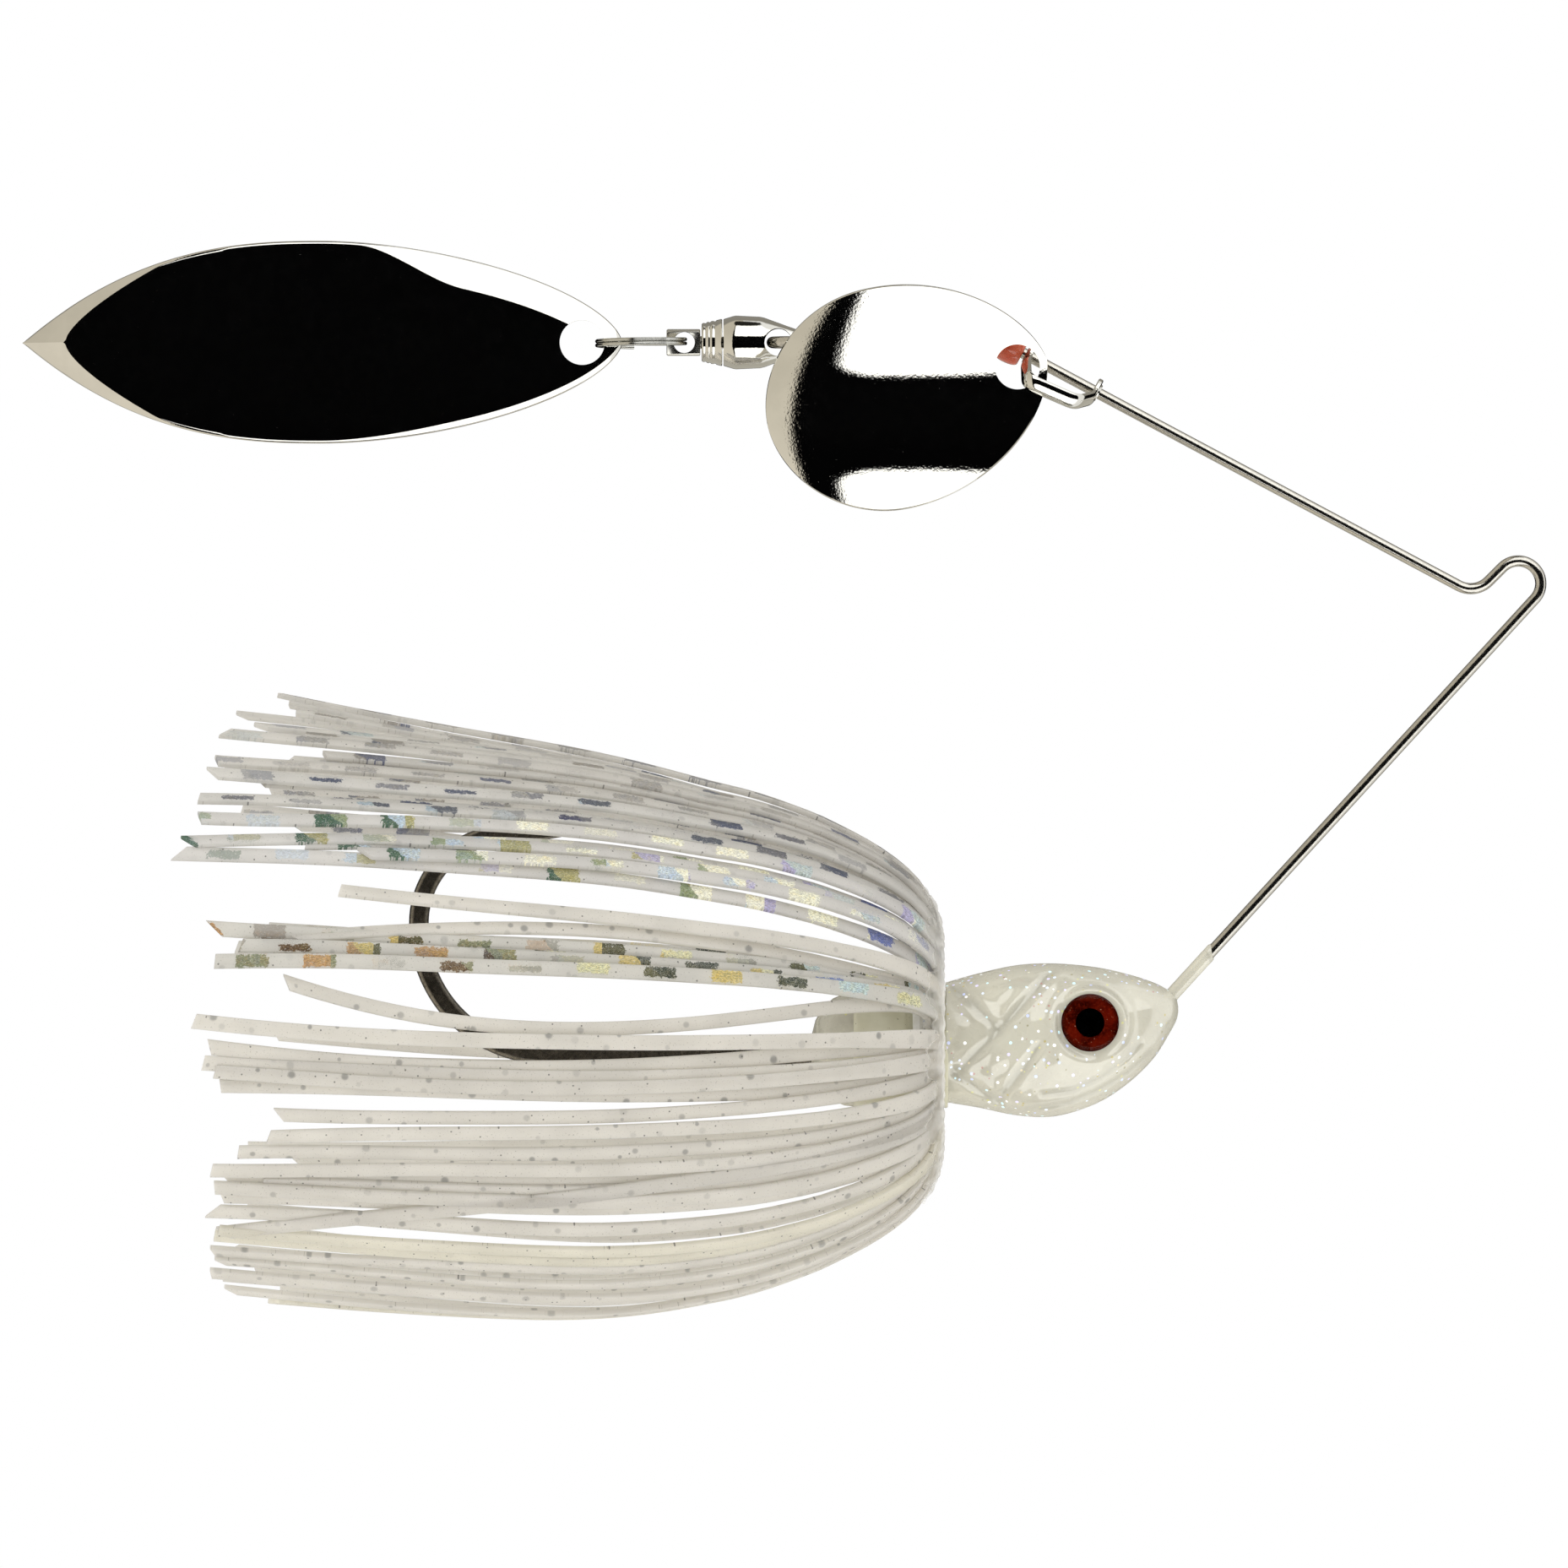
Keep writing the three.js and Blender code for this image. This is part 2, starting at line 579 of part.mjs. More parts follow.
function splitRing() {
  const stations = [];
  const steps = 40;
  for (let k = 0; k <= steps; k++) {
    const turns = k / steps * 1.94;
    const a = Math.PI * 2 * (turns + 0.28);
    const z = AXIS_Z + RING_PITCH * (turns / 1.94 - 0.5);
    stations.push(v3(RING_X + RING_R * Math.cos(a), RING_R * Math.sin(a), z));
  }
  return ringStrip(stations);
}

function ringStrip(stations) {
  const geometry = new THREE.BoxGeometry(RING_W, RING_W * 0.5, 1, 1, 1, stations.length - 1);
  const position = geometry.attributes.position;
  for (let i = 0; i < position.count; i++) {
    const k = Math.round((position.getZ(i) + 0.5) * (stations.length - 1));
    const out = stations[k].clone().sub(v3(RING_X, 0, stations[k].z)).normalize();
    const p = stations[k].clone().addScaledVector(out, position.getX(i));
    position.setXYZ(i, p.x, p.y, p.z - position.getY(i));
  }
  return geometry;
}

addPiece('split_ring', splitRing(), STEEL);

export default spinnerbait;
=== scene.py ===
"""Looks of the spinnerbait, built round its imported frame.

Shapes are worked out in millimetres, in the row frame, and are scaled to metres in make().
"""
import math
import random

import bmesh
import bpy
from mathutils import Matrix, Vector
from mathutils import noise as lattice


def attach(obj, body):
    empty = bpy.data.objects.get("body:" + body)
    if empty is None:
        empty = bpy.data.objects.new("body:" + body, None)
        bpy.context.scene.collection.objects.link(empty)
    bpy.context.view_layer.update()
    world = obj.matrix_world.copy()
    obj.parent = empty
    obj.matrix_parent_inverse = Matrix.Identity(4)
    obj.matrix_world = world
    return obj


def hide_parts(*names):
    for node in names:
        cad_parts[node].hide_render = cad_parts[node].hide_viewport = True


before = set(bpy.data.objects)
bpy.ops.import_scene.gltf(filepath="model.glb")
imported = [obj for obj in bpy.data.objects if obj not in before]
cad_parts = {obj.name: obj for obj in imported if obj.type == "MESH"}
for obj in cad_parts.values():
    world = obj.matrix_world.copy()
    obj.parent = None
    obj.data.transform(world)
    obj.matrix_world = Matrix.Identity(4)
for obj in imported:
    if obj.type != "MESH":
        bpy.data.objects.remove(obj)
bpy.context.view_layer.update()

MM = 0.001
PER_METRE = 1000.0
X, Y, Z = Vector((1, 0, 0)), Vector((0, 1, 0)), Vector((0, 0, 1))

# ---- dimensions, as in the CAD ----

WIRE_R = 0.45
TIE_R = 1.78
LEG_ANGLE = math.radians(47.5)
ARM_SLOPE = math.radians(28.1)
ARM_CORNER = (-3.39, -0.87)
ARM_END_X = -46.5
LOOP_X = -57.0
LOOP_R = 1.9
AXIS_Z = 19.03
HEAD_AXIS_Z = -36.3
EYE = (-33.9, -34.6)
EYE_R = 2.25
EYE_FACE_Y = 4.35
HOOK_EYE_X = -36.2
HOOK_Z = -37.2
HOOK_POINT_Z = -19.8
HOOK_BACK_X = -86.8
HOOK_TIP_X = -74.6
COLLAR_X = -46.9
CLEVIS_START_X = -33.4
CLEVIS_SPAN = 5.9
CLEVIS_DEPTH = 4.7
CLEVIS_TILT = math.radians(65)
RING_X = -69.25
RING_R = 3.35
SWIVEL_EYE_X = -58.42
LUG_HOLE_X = -65.85


# ---- geometry helpers ----

def upright(*places):
    """Points in the plane y = 0, from pairs of X and Z."""
    return [Vector((x, 0, z)) for x, z in places]


def smoothstep(low, high, value):
    t = min(max((value - low) / (high - low), 0.0), 1.0)
    return t * t * (3 - 2 * t)


class Pile:
    """Vertices in millimetres, faces, each face's material and named numbers per vertex."""

    def __init__(self, verts=(), faces=(), **marks):
        self.verts, self.faces, self.slots, self.marks = [], [], [], {}
        self.add(verts, faces, **marks)

    def add(self, verts, faces, slot=0, **marks):
        base = len(self.verts)
        self.verts += [Vector(v) for v in verts]
        self.faces += [[base + i for i in face] for face in faces]
        self.slots += [slot] * len(faces)
        for key, values in marks.items():
            have = self.marks.setdefault(key, [])
            have += [0.0] * (base - len(have)) + list(values)


def rings_to_faces(count, size, capped=True, looped=False):
    """Quads between `count` rings of `size` points, with flat caps at the two ends."""
    faces = []
    for i in range(count if looped else count - 1):
        a, b = i * size, (i + 1) % count * size
        faces += [[a + k, a + (k + 1) % size, b + (k + 1) % size, b + k] for k in range(size)]
    if capped and not looped:
        faces.append(list(range(size))[::-1])
        faces.append([(count - 1) * size + k for k in range(size)])
    return faces


def frames(path, side):
    """(point, tangent, side, up) along a path, turning as little as it can."""
    out = []
    for i, p in enumerate(path):
        t = (path[min(i + 1, len(path) - 1)] - path[max(i - 1, 0)]).normalized()
        side = (side - t * side.dot(t)).normalized()
        out.append((p, t, side, t.cross(side)))
    return out


def sweep(path, side, section):
    """section(i, n) gives [(a, b)...], a along side and b along up."""
    verts, size = [], 0
    for i, (p, _, s, u) in enumerate(frames(path, side)):
        ring = section(i, len(path))
        size = len(ring)
        verts += [p + s * a + u * b for a, b in ring]
    return verts, rings_to_faces(len(path), size)


def ellipse(ra, rb, sides):
    turn = math.tau / sides
    return [(ra * math.cos(k * turn), rb * math.sin(k * turn)) for k in range(sides)]


def slab(w, h, bevel):
    """A rectangle w by h with its corners cut."""
    a, b = w / 2, h / 2
    return [(a, -b + bevel), (a, b - bevel), (a - bevel, b), (bevel - a, b),
            (-a, b - bevel), (-a, bevel - b), (bevel - a, -b), (a - bevel, -b)]


def rounded(corners, radii, step=6.0, longest=3.0):
    """Points along straight runs between corners, each corner rounded to its radius."""
    out = [corners[0]]
    for i in range(1, len(corners) - 1):
        back = (corners[i - 1] - corners[i]).normalized()
        on = (corners[i + 1] - corners[i]).normalized()
        angle = math.pi - back.angle(on)
        r = radii[i - 1]
        centre = corners[i] + (back + on).normalized() * r / math.cos(angle / 2)
        start = corners[i] + back * r * math.tan(angle / 2) - centre
        end = corners[i] + on * r * math.tan(angle / 2) - centre
        steps = max(2, math.ceil(math.degrees(angle) / step))
        out += [centre + start.slerp(end, k / steps).normalized() * r for k in range(steps + 1)]
    out.append(corners[-1])
    full = [out[0]]
    for p in out[1:]:
        gap = (p - full[-1]).length
        if gap < 1e-3:
            continue
        pieces = max(1, math.ceil(gap / longest))
        first = full[-1]
        full += [first.lerp(p, (k + 1) / pieces) for k in range(pieces)]
    return full


def arc_corners(centre, r, start, turn, count):
    out = []
    for k in range(count):
        a = start + turn * (2 * k + 1) / (2 * count)
        reach = r / math.cos(abs(turn) / (2 * count))
        out.append(centre + Vector((reach * math.cos(a), 0, reach * math.sin(a))))
    return out


def through(points, count, power=1.0):
    """A smooth curve through 2-D or 3-D points, as `count` points, closer together at the start."""
    pts = [Vector(p).resized(3) if len(p) == 2 else Vector(p) for p in points]
    pts = [pts[0] * 2 - pts[1]] + pts + [pts[-1] * 2 - pts[-2]]
    dense = []
    for i in range(1, len(pts) - 2):
        p0, p1, p2, p3 = pts[i - 1:i + 3]
        for k in range(16):
            t = k / 16
            dense.append(0.5 * (2 * p1 + (p2 - p0) * t + (2 * p0 - 5 * p1 + 4 * p2 - p3) * t * t
                                + (3 * p1 - p0 - 3 * p2 + p3) * t ** 3))
    dense.append(pts[-2])
    lengths = [0.0]
    for a, b in zip(dense, dense[1:]):
        lengths.append(lengths[-1] + (b - a).length)
    out, j = [], 0
    for k in range(count):
        want = lengths[-1] * (k / (count - 1)) ** power
        while j < len(lengths) - 2 and lengths[j + 1] < want:
            j += 1
        t = (want - lengths[j]) / max(lengths[j + 1] - lengths[j], 1e-9)
        out.append(dense[j].lerp(dense[j + 1], min(max(t, 0), 1)))
    return out


def turned(profile, sides, at, axis, side):
    """A lathed shape. profile is [(along, r)...]: r 0 at both ends, or a closed loop."""
    up = axis.cross(side)
    closed = profile[0] == profile[-1]
    rows = profile[:-1] if closed else profile
    verts, rings = [], []
    for along, r in rows:
        if r < 1e-6:
            rings.append([len(verts)] * sides)
            verts.append(at + axis * along)
            continue
        rings.append(list(range(len(verts), len(verts) + sides)))
        for k in range(sides):
            a = math.tau * k / sides
            verts.append(at + axis * along + (side * math.cos(a) + up * math.sin(a)) * r)
    faces = []
    for i in range(len(rings) if closed else len(rings) - 1):
        a, b = rings[i], rings[(i + 1) % len(rings)]
        for k in range(sides):
            j = (k + 1) % sides
            face = [a[k], a[j], b[j], b[k]]
            faces.append([v for n, v in enumerate(face) if v != face[n - 1]])
    return verts, faces


def make(name, pile, materials, body, replaces=(), sharp=40.0):
    """One visible piece, riding on a body of the frame."""
    mesh = bpy.data.meshes.new(name)
    mesh.from_pydata([tuple(v * MM) for v in pile.verts], [], pile.faces)
    work = bmesh.new()
    work.from_mesh(mesh)
    bmesh.ops.recalc_face_normals(work, faces=work.faces)
    work.to_mesh(mesh)
    work.free()
    for material in materials:
        mesh.materials.append(material)
    mesh.polygons.foreach_set("material_index", pile.slots)
    for key, values in pile.marks.items():
        values = values + [0.0] * (len(mesh.vertices) - len(values))
        mesh.attributes.new(key, "FLOAT", "POINT").data.foreach_set("value", values)
    mesh.shade_smooth()
    mesh.set_sharp_from_angle(angle=math.radians(sharp))
    obj = bpy.data.objects.new(name, mesh)
    bpy.context.scene.collection.objects.link(obj)
    if body:
        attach(obj, body)
        if replaces:
            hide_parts(*replaces)
    return obj


def bake(obj):
    """Puts an object's modifiers into its mesh."""
    shape = obj.evaluated_get(bpy.context.evaluated_depsgraph_get())
    mesh = bpy.data.meshes.new_from_object(shape)
    obj.modifiers.clear()
    obj.data = mesh


def cut(obj, cutters, bevel=0.0):
    """Subtracts the cutters from an object, rounds the sharp edges and bakes the result."""
    for cutter in cutters:
        tool = obj.modifiers.new("cut", "BOOLEAN")
        tool.operation = "DIFFERENCE"
        tool.solver = "EXACT"
        tool.object = cutter
    if bevel:
        edge = obj.modifiers.new("edge", "BEVEL")
        edge.width = bevel * MM
        edge.segments = 2
        edge.limit_method = "ANGLE"
        edge.angle_limit = math.radians(38)
        edge.harden_normals = False
    bake(obj)
    for cutter in cutters:
        bpy.data.objects.remove(cutter)
    obj.data.shade_smooth()
    obj.data.set_sharp_from_angle(angle=math.radians(40))


def cutter_rod(start, end, r, sides=48):
    pile = Pile()
    axis = (end - start).normalized()
    side = axis.orthogonal().normalized()
    length = (end - start).length
    pile.add(*turned([(0, 0), (0, r), (length, r), (length, 0)], sides, start, axis, side))
    return make("cutter", pile, [], None)


# ---- material helpers ----

class Shader:
    """A node material built in a few words. Scales are per millimetre."""

    def __init__(self, name, **sockets):
        self.material = bpy.data.materials.new(name)
        self.material.use_nodes = True
        self.tree = self.material.node_tree
        self.tree.nodes.clear()
        self.main = self.tree.nodes.new("ShaderNodeBsdfPrincipled")
        self.output = self.tree.nodes.new("ShaderNodeOutputMaterial")
        self.tree.links.new(self.main.outputs[0], self.output.inputs[0])
        self.place = self.tree.nodes.new("ShaderNodeTexCoord").outputs["Object"]
        for key, value in sockets.items():
            self.set(key.replace("_", " "), value)

    def put(self, socket, value):
        if isinstance(value, bpy.types.NodeSocket):
            self.tree.links.new(value, socket)
        elif isinstance(value, (tuple, list)) and len(value) == 3 and socket.type == "RGBA":
            socket.default_value = (*value, 1)
        elif value is not None:
            socket.default_value = value

    def set(self, key, value):
        self.put(self.main.inputs[key], value)

    def math(self, operation, a, b=None):
        node = self.tree.nodes.new("ShaderNodeMath")
        node.operation = operation
        for socket, value in zip(node.inputs, (a, b)):
            self.put(socket, value)
        return node.outputs[0]

    def mul(self, a, b):
        return self.math("MULTIPLY", a, b)

    def add(self, a, b):
        return self.math("ADD", a, b)

    def sub(self, a, b):
        return self.math("SUBTRACT", a, b)

    def above(self, a, b):
        return self.math("GREATER_THAN", a, b)

    def mark(self, name):
        node = self.tree.nodes.new("ShaderNodeAttribute")
        node.attribute_name = name
        return node.outputs["Fac"]

    def stretch(self, scale):
        node = self.tree.nodes.new("ShaderNodeVectorMath")
        node.operation = "MULTIPLY"
        self.put(node.inputs[0], self.place)
        node.inputs[1].default_value = scale
        return node.outputs[0]

    def combine(self, x, y=0.0, z=0.0):
        node = self.tree.nodes.new("ShaderNodeCombineXYZ")
        for socket, value in zip(node.inputs, (x, y, z)):
            self.put(socket, value)
        return node.outputs[0]

    def noise(self, per_mm, detail=2.0, rough=0.5, vector=None):
        """per_mm counts waves per mm of the piece, or per unit of a vector that is handed in."""
        node = self.tree.nodes.new("ShaderNodeTexNoise")
        self.put(node.inputs["Vector"], vector or self.place)
        node.inputs["Scale"].default_value = per_mm * (1.0 if vector else PER_METRE)
        node.inputs["Detail"].default_value = detail
        node.inputs["Roughness"].default_value = rough
        return node.outputs["Fac"]

    def cells(self, per_mm, vector, flat=False):
        node = self.tree.nodes.new("ShaderNodeTexVoronoi")
        if flat:
            node.voronoi_dimensions = "2D"
        self.put(node.inputs["Vector"], vector)
        node.inputs["Scale"].default_value = per_mm
        return node.outputs["Distance"], node.outputs["Color"]

    def white(self, vector):
        node = self.tree.nodes.new("ShaderNodeTexWhiteNoise")
        node.noise_dimensions = "3D"
        self.put(node.inputs["Vector"], vector)
        return node.outputs["Value"], node.outputs["Color"]

    def part(self, color, index):
        node = self.tree.nodes.new("ShaderNodeSeparateColor")
        self.put(node.inputs[0], color)
        return node.outputs[index]

    def ramp(self, value, stops, hard=False):
        node = self.tree.nodes.new("ShaderNodeValToRGB")
        node.color_ramp.interpolation = "CONSTANT" if hard else "LINEAR"
        elements = node.color_ramp.elements
        while len(elements) < len(stops):
            elements.new(1.0)
        for element, (at, color) in zip(elements, stops):
            element.position = at
            element.color = (*color, 1) if isinstance(color, tuple) else (color, color, color, 1)
        self.put(node.inputs[0], value)
        return node.outputs["Color"]

    def range(self, value, low, high, to_low=0.0, to_high=1.0, smooth=True):
        node = self.tree.nodes.new("ShaderNodeMapRange")
        node.interpolation_type = "SMOOTHSTEP" if smooth else "LINEAR"
        for socket, item in zip(node.inputs, (value, low, high, to_low, to_high)):
            self.put(socket, item)
        return node.outputs[0]

    def mix(self, factor, a, b, blend="MIX"):
        node = self.tree.nodes.new("ShaderNodeMix")
        node.data_type = "RGBA"
        node.blend_type = blend
        for index, value in ((0, factor), (6, a), (7, b)):
            self.put(node.inputs[index], value)
        return node.outputs[2]

    def facing(self):
        """0 where the surface faces the eye, 1 at its outline."""
        return self.tree.nodes.new("ShaderNodeLayerWeight").outputs["Facing"]

    def lit_through(self, color, share):
        """Lets light from behind show through thin silicone."""
        through = self.tree.nodes.new("ShaderNodeBsdfTranslucent")
        self.put(through.inputs[0], color)
        both = self.tree.nodes.new("ShaderNodeMixShader")
        for socket, value in zip(both.inputs, (share, self.main.outputs[0], through.outputs[0])):
            if isinstance(value, float):
                socket.default_value = value
            else:
                self.tree.links.new(value, socket)
        self.tree.links.new(both.outputs[0], self.output.inputs[0])

    def bump(self, height, distance_mm):
        node = self.tree.nodes.new("ShaderNodeBump")
        node.inputs["Distance"].default_value = distance_mm * MM
        node.inputs["Strength"].default_value = 1.0
        self.put(node.inputs["Height"], height)
        self.set("Normal", node.outputs[0])


# ---- materials ----

SOFT = {"IOR": 1.43, "Subsurface_Radius": (0.0009, 0.0009, 0.0008), "Subsurface_Scale": 1.0}


def dimmed(tone, share):
    return tuple(c * share for c in tone)


def mirror_nickel(name, tone=(0.80, 0.785, 0.745), peel=(5.5, 0.0030), wave=1.2, rough=0.015):
    """Plated sheet: a mirror with the plate's faint peel (waves per mm, depth) and a few scratches."""
    s = Shader(name, Metallic=1.0)
    haze = s.noise(0.35, 3)
    s.set("Base Color", s.mix(s.range(haze, 0.35, 0.7), tone, dimmed(tone, 0.93)))
    scratches = s.noise(1.0, 4, 0.65, s.stretch((300.0, 900.0, 2600.0)))
    dust = s.range(s.noise(5.0, 2, 0.7), 0.72, 0.75)
    marks = s.add(s.mul(s.range(scratches, 0.66, 0.72), 0.06),
                   s.mul(dust, 0.22))
    s.set("Roughness", s.add(s.range(s.noise(1.4, 2), 0.3, 0.8, rough, rough + 0.03), marks))
    height = s.add(s.noise(peel[0], 2, 0.5), s.mul(s.noise(0.9, 2), wave))
    s.bump(height, peel[1])
    return s.material


def drawn_steel(name, tone, rough):
    s = Shader(name, Metallic=1.0)
    grain = s.noise(6.0, 4, 0.7)
    s.set("Base Color", s.mix(s.range(grain, 0.3, 0.75), tone, dimmed(tone, 0.78)))
    s.set("Roughness", s.range(s.noise(3.0, 3), 0.25, 0.8, rough * 0.7, rough * 1.6))
    s.bump(grain, 0.006)
    return s.material


def black_nickel():
    s = Shader("black_nickel", Metallic=1.0)
    cloud = s.noise(1.6, 4, 0.6)
    tone = s.mix(s.range(cloud, 0.42, 0.78), (0.030, 0.027, 0.023), (0.095, 0.085, 0.072))
    edge = s.mark("edge")
    worn = s.mul(edge, s.range(s.noise(4.0, 3), 0.3, 0.6, 0.5, 1.0))
    tone = s.mix(worn, tone, (0.30, 0.275, 0.235))
    dust = s.range(s.noise(9.0, 2, 0.7), 0.73, 0.76)
    s.set("Base Color", s.mix(s.mul(dust, 0.5), tone, (0.6, 0.58, 0.54)))
    s.set("Roughness", s.range(s.noise(2.5, 3), 0.3, 0.75, 0.16, 0.34))
    s.bump(s.noise(7.0, 3, 0.6), 0.008)
    return s.material


PALE_FLAKES = [(0.0, (1.0, 1.0, 1.0)), (0.25, (0.78, 0.86, 1.0)), (0.5, (0.76, 0.71, 1.0)),
               (0.72, (0.70, 0.95, 1.0)), (0.86, (0.60, 0.66, 0.95))]
GOLD_FLAKES = [(0.0, (0.60, 0.52, 0.24)), (0.3, (0.76, 0.74, 0.34)), (0.5, (0.56, 0.34, 0.29)),
               (0.66, (0.44, 0.41, 0.27)), (0.8, (0.84, 0.74, 0.50)), (0.92, (0.95, 0.93, 0.70))]


def pearl_paint(name, flakes):
    """Pearl white under a clear coat, with glitter held in the coat in clusters, painted shade in the
    grooves and painted glints where the flakes glow.
    """
    s = Shader(name, Metallic=0.0, IOR=1.5, Coat_Roughness=0.03, Coat_IOR=1.85,
               Subsurface_Weight=0.15, Subsurface_Radius=(0.0012, 0.0011, 0.0009),
               Subsurface_Scale=1.0)
    cloud = s.noise(0.28, 3)
    tone = s.mix(s.range(cloud, 0.3, 0.7), (0.585, 0.56, 0.46), (0.67, 0.645, 0.525))
    # Painted shade: the paint darkens along the gill and mouth grooves, where shade falls.
    tone = s.mix(s.mul(s.mark("painted_groove_shade"), 0.45), tone, (0.42, 0.41, 0.34))
    share = s.range(s.noise(0.17, 3), 0.44, 0.62, 0.10, 1.0)
    painted_glints = 0.0
    for density, radius, shift, palette, painted_flake_glow in flakes:
        moved = s.tree.nodes.new("ShaderNodeVectorMath")
        moved.operation = "ADD"
        s.put(moved.inputs[0], s.stretch((PER_METRE, PER_METRE, PER_METRE)))
        moved.inputs[1].default_value = (shift, shift * 0.7, shift * 0.3)
        distance, color = s.cells(density, moved.outputs[0])
        dot = s.math("LESS_THAN", distance, radius * density)
        chosen = s.mul(dot, s.above(share, s.part(color, 1)))
        tone = s.mix(chosen, tone, s.ramp(s.part(color, 0), palette, hard=True))
        painted_glints = s.add(painted_glints, s.mul(chosen, painted_flake_glow))
    s.set("Base Color", tone)
    # Painted glints: the picked flakes glow by emission, standing in for light sparkling off them.
    s.set("Emission Color", tone)
    s.set("Emission Strength", painted_glints)
    s.set("Coat Weight", s.range(s.facing(), 0.55, 0.90, 1.0, 0.0))
    s.set("Roughness", s.range(s.noise(1.1, 2), 0.3, 0.7, 0.22, 0.34))
    s.bump(s.noise(0.8, 2), 0.03)
    return s.material


# In the strands' shaders: half a strand's width, the step that gives each strand its own pattern, the
# foil's spacing, the share of it that is foil, and the length that a palette drifts over. Lengths are mm.
HALF_WIDTH = 0.55
LOT_APART = 7.31
FOIL_PITCH = 5.3
FOIL_SHARE = 0.47
FOIL_REACH = 55


def keeper_paint():
    # Painted light: the keeper glows a little by emission, lifting the shade it sits in.
    s = Shader("keeper_paint", Roughness=0.34, Coat_Weight=0.4, Coat_Roughness=0.08,
               Emission_Strength=0.1)
    cloud = s.noise(0.5, 3)
    tone = s.mix(s.range(cloud, 0.3, 0.7), (0.60, 0.575, 0.42), (0.68, 0.66, 0.51))
    specks = s.range(s.noise(4.5, 2), 0.70, 0.74)
    s.set("Base Color", s.mix(specks, tone, (0.24, 0.21, 0.12)))
    s.set("Emission Color", tone)
    s.bump(s.noise(1.5, 3), 0.03)
    return s.material


def silicone(name, tone, foil=None, spots=0.5, seed=0.0, alpha=0.9, depth=0.45):
    """Skirt silicone. "along" is mm down the strand, "across" -1 to 1, "lot" the strand's number."""
    # Painted light: the silicone glows a little by emission, which lifts the shade between the strands.
    s = Shader(name, Alpha=alpha, Emission_Strength=0.08, Subsurface_Weight=depth, **SOFT)
    along, across, lot = s.mark("along"), s.mark("across"), s.mark("lot")
    wide = s.add(s.mul(across, HALF_WIDTH), s.add(s.mul(lot, LOT_APART), seed))
    where = s.combine(along, wide)
    milk = s.noise(0.22, 3, 0.5, where)
    color = s.mix(s.range(milk, 0.3, 0.72), tone, dimmed(tone, 0.90))
    # Painted shade: each strand is darkened towards its two edges.
    edge = s.range(s.math("ABSOLUTE", across), 0.72, 1.0)
    color = s.mix(s.mul(edge, 0.2), color, dimmed(tone, 0.62))
    fine = s.noise(6.5, 2, 0.7, where)
    color = s.mix(s.range(fine, 0.63, 0.69, 0.0, 0.65), color, (0.22, 0.20, 0.16))
    if spots:
        distance, pick = s.cells(0.5, where, flat=True)
        size = s.range(s.part(pick, 0), 0.0, 1.0, 0.09, 0.20, smooth=False)
        blot = s.range(s.math("DIVIDE", distance, size), 0.45, 1.05, 1.0, 0.0)
        blot = s.mul(blot, s.range(s.part(pick, 2), 0.30, 0.32))
        dark = s.mul(s.range(s.part(pick, 1), 0.0, 1.0, 0.25, 1.0), spots)
        color = s.mix(s.mul(blot, dark), color, (0.20, 0.20, 0.195))
        distance, pick = s.cells(0.66, where, flat=True)
        core = s.mul(s.range(distance, 0.035, 0.055, 1.0, 0.0), s.range(s.part(pick, 2), 0.5, 0.52))
        color = s.mix(s.mul(core, 0.85), color, (0.05, 0.05, 0.045))
    through = s.mix(0.5, color, (0.95, 0.93, 0.88))
    if foil:
        mask, tint = foil_patches(s, along, across, lot, where, foil, seed)
        color, through = s.mix(mask, color, tint), s.mix(mask, through, tint)
    # The silicone is clear and shiny where it is stretched over the collar.
    root = s.range(along, 8.0, 2.0)
    color = s.mix(s.mul(root, 0.5), color, (0.86, 0.85, 0.80))
    s.set("Base Color", color)
    s.set("Emission Color", color)
    s.lit_through(through, 0.35)
    s.set("Roughness", s.range(root, 0.0, 1.0, 0.32, 0.10))
    s.bump(s.noise(1.4, 2, 0.5, where), 0.03)
    return s.material




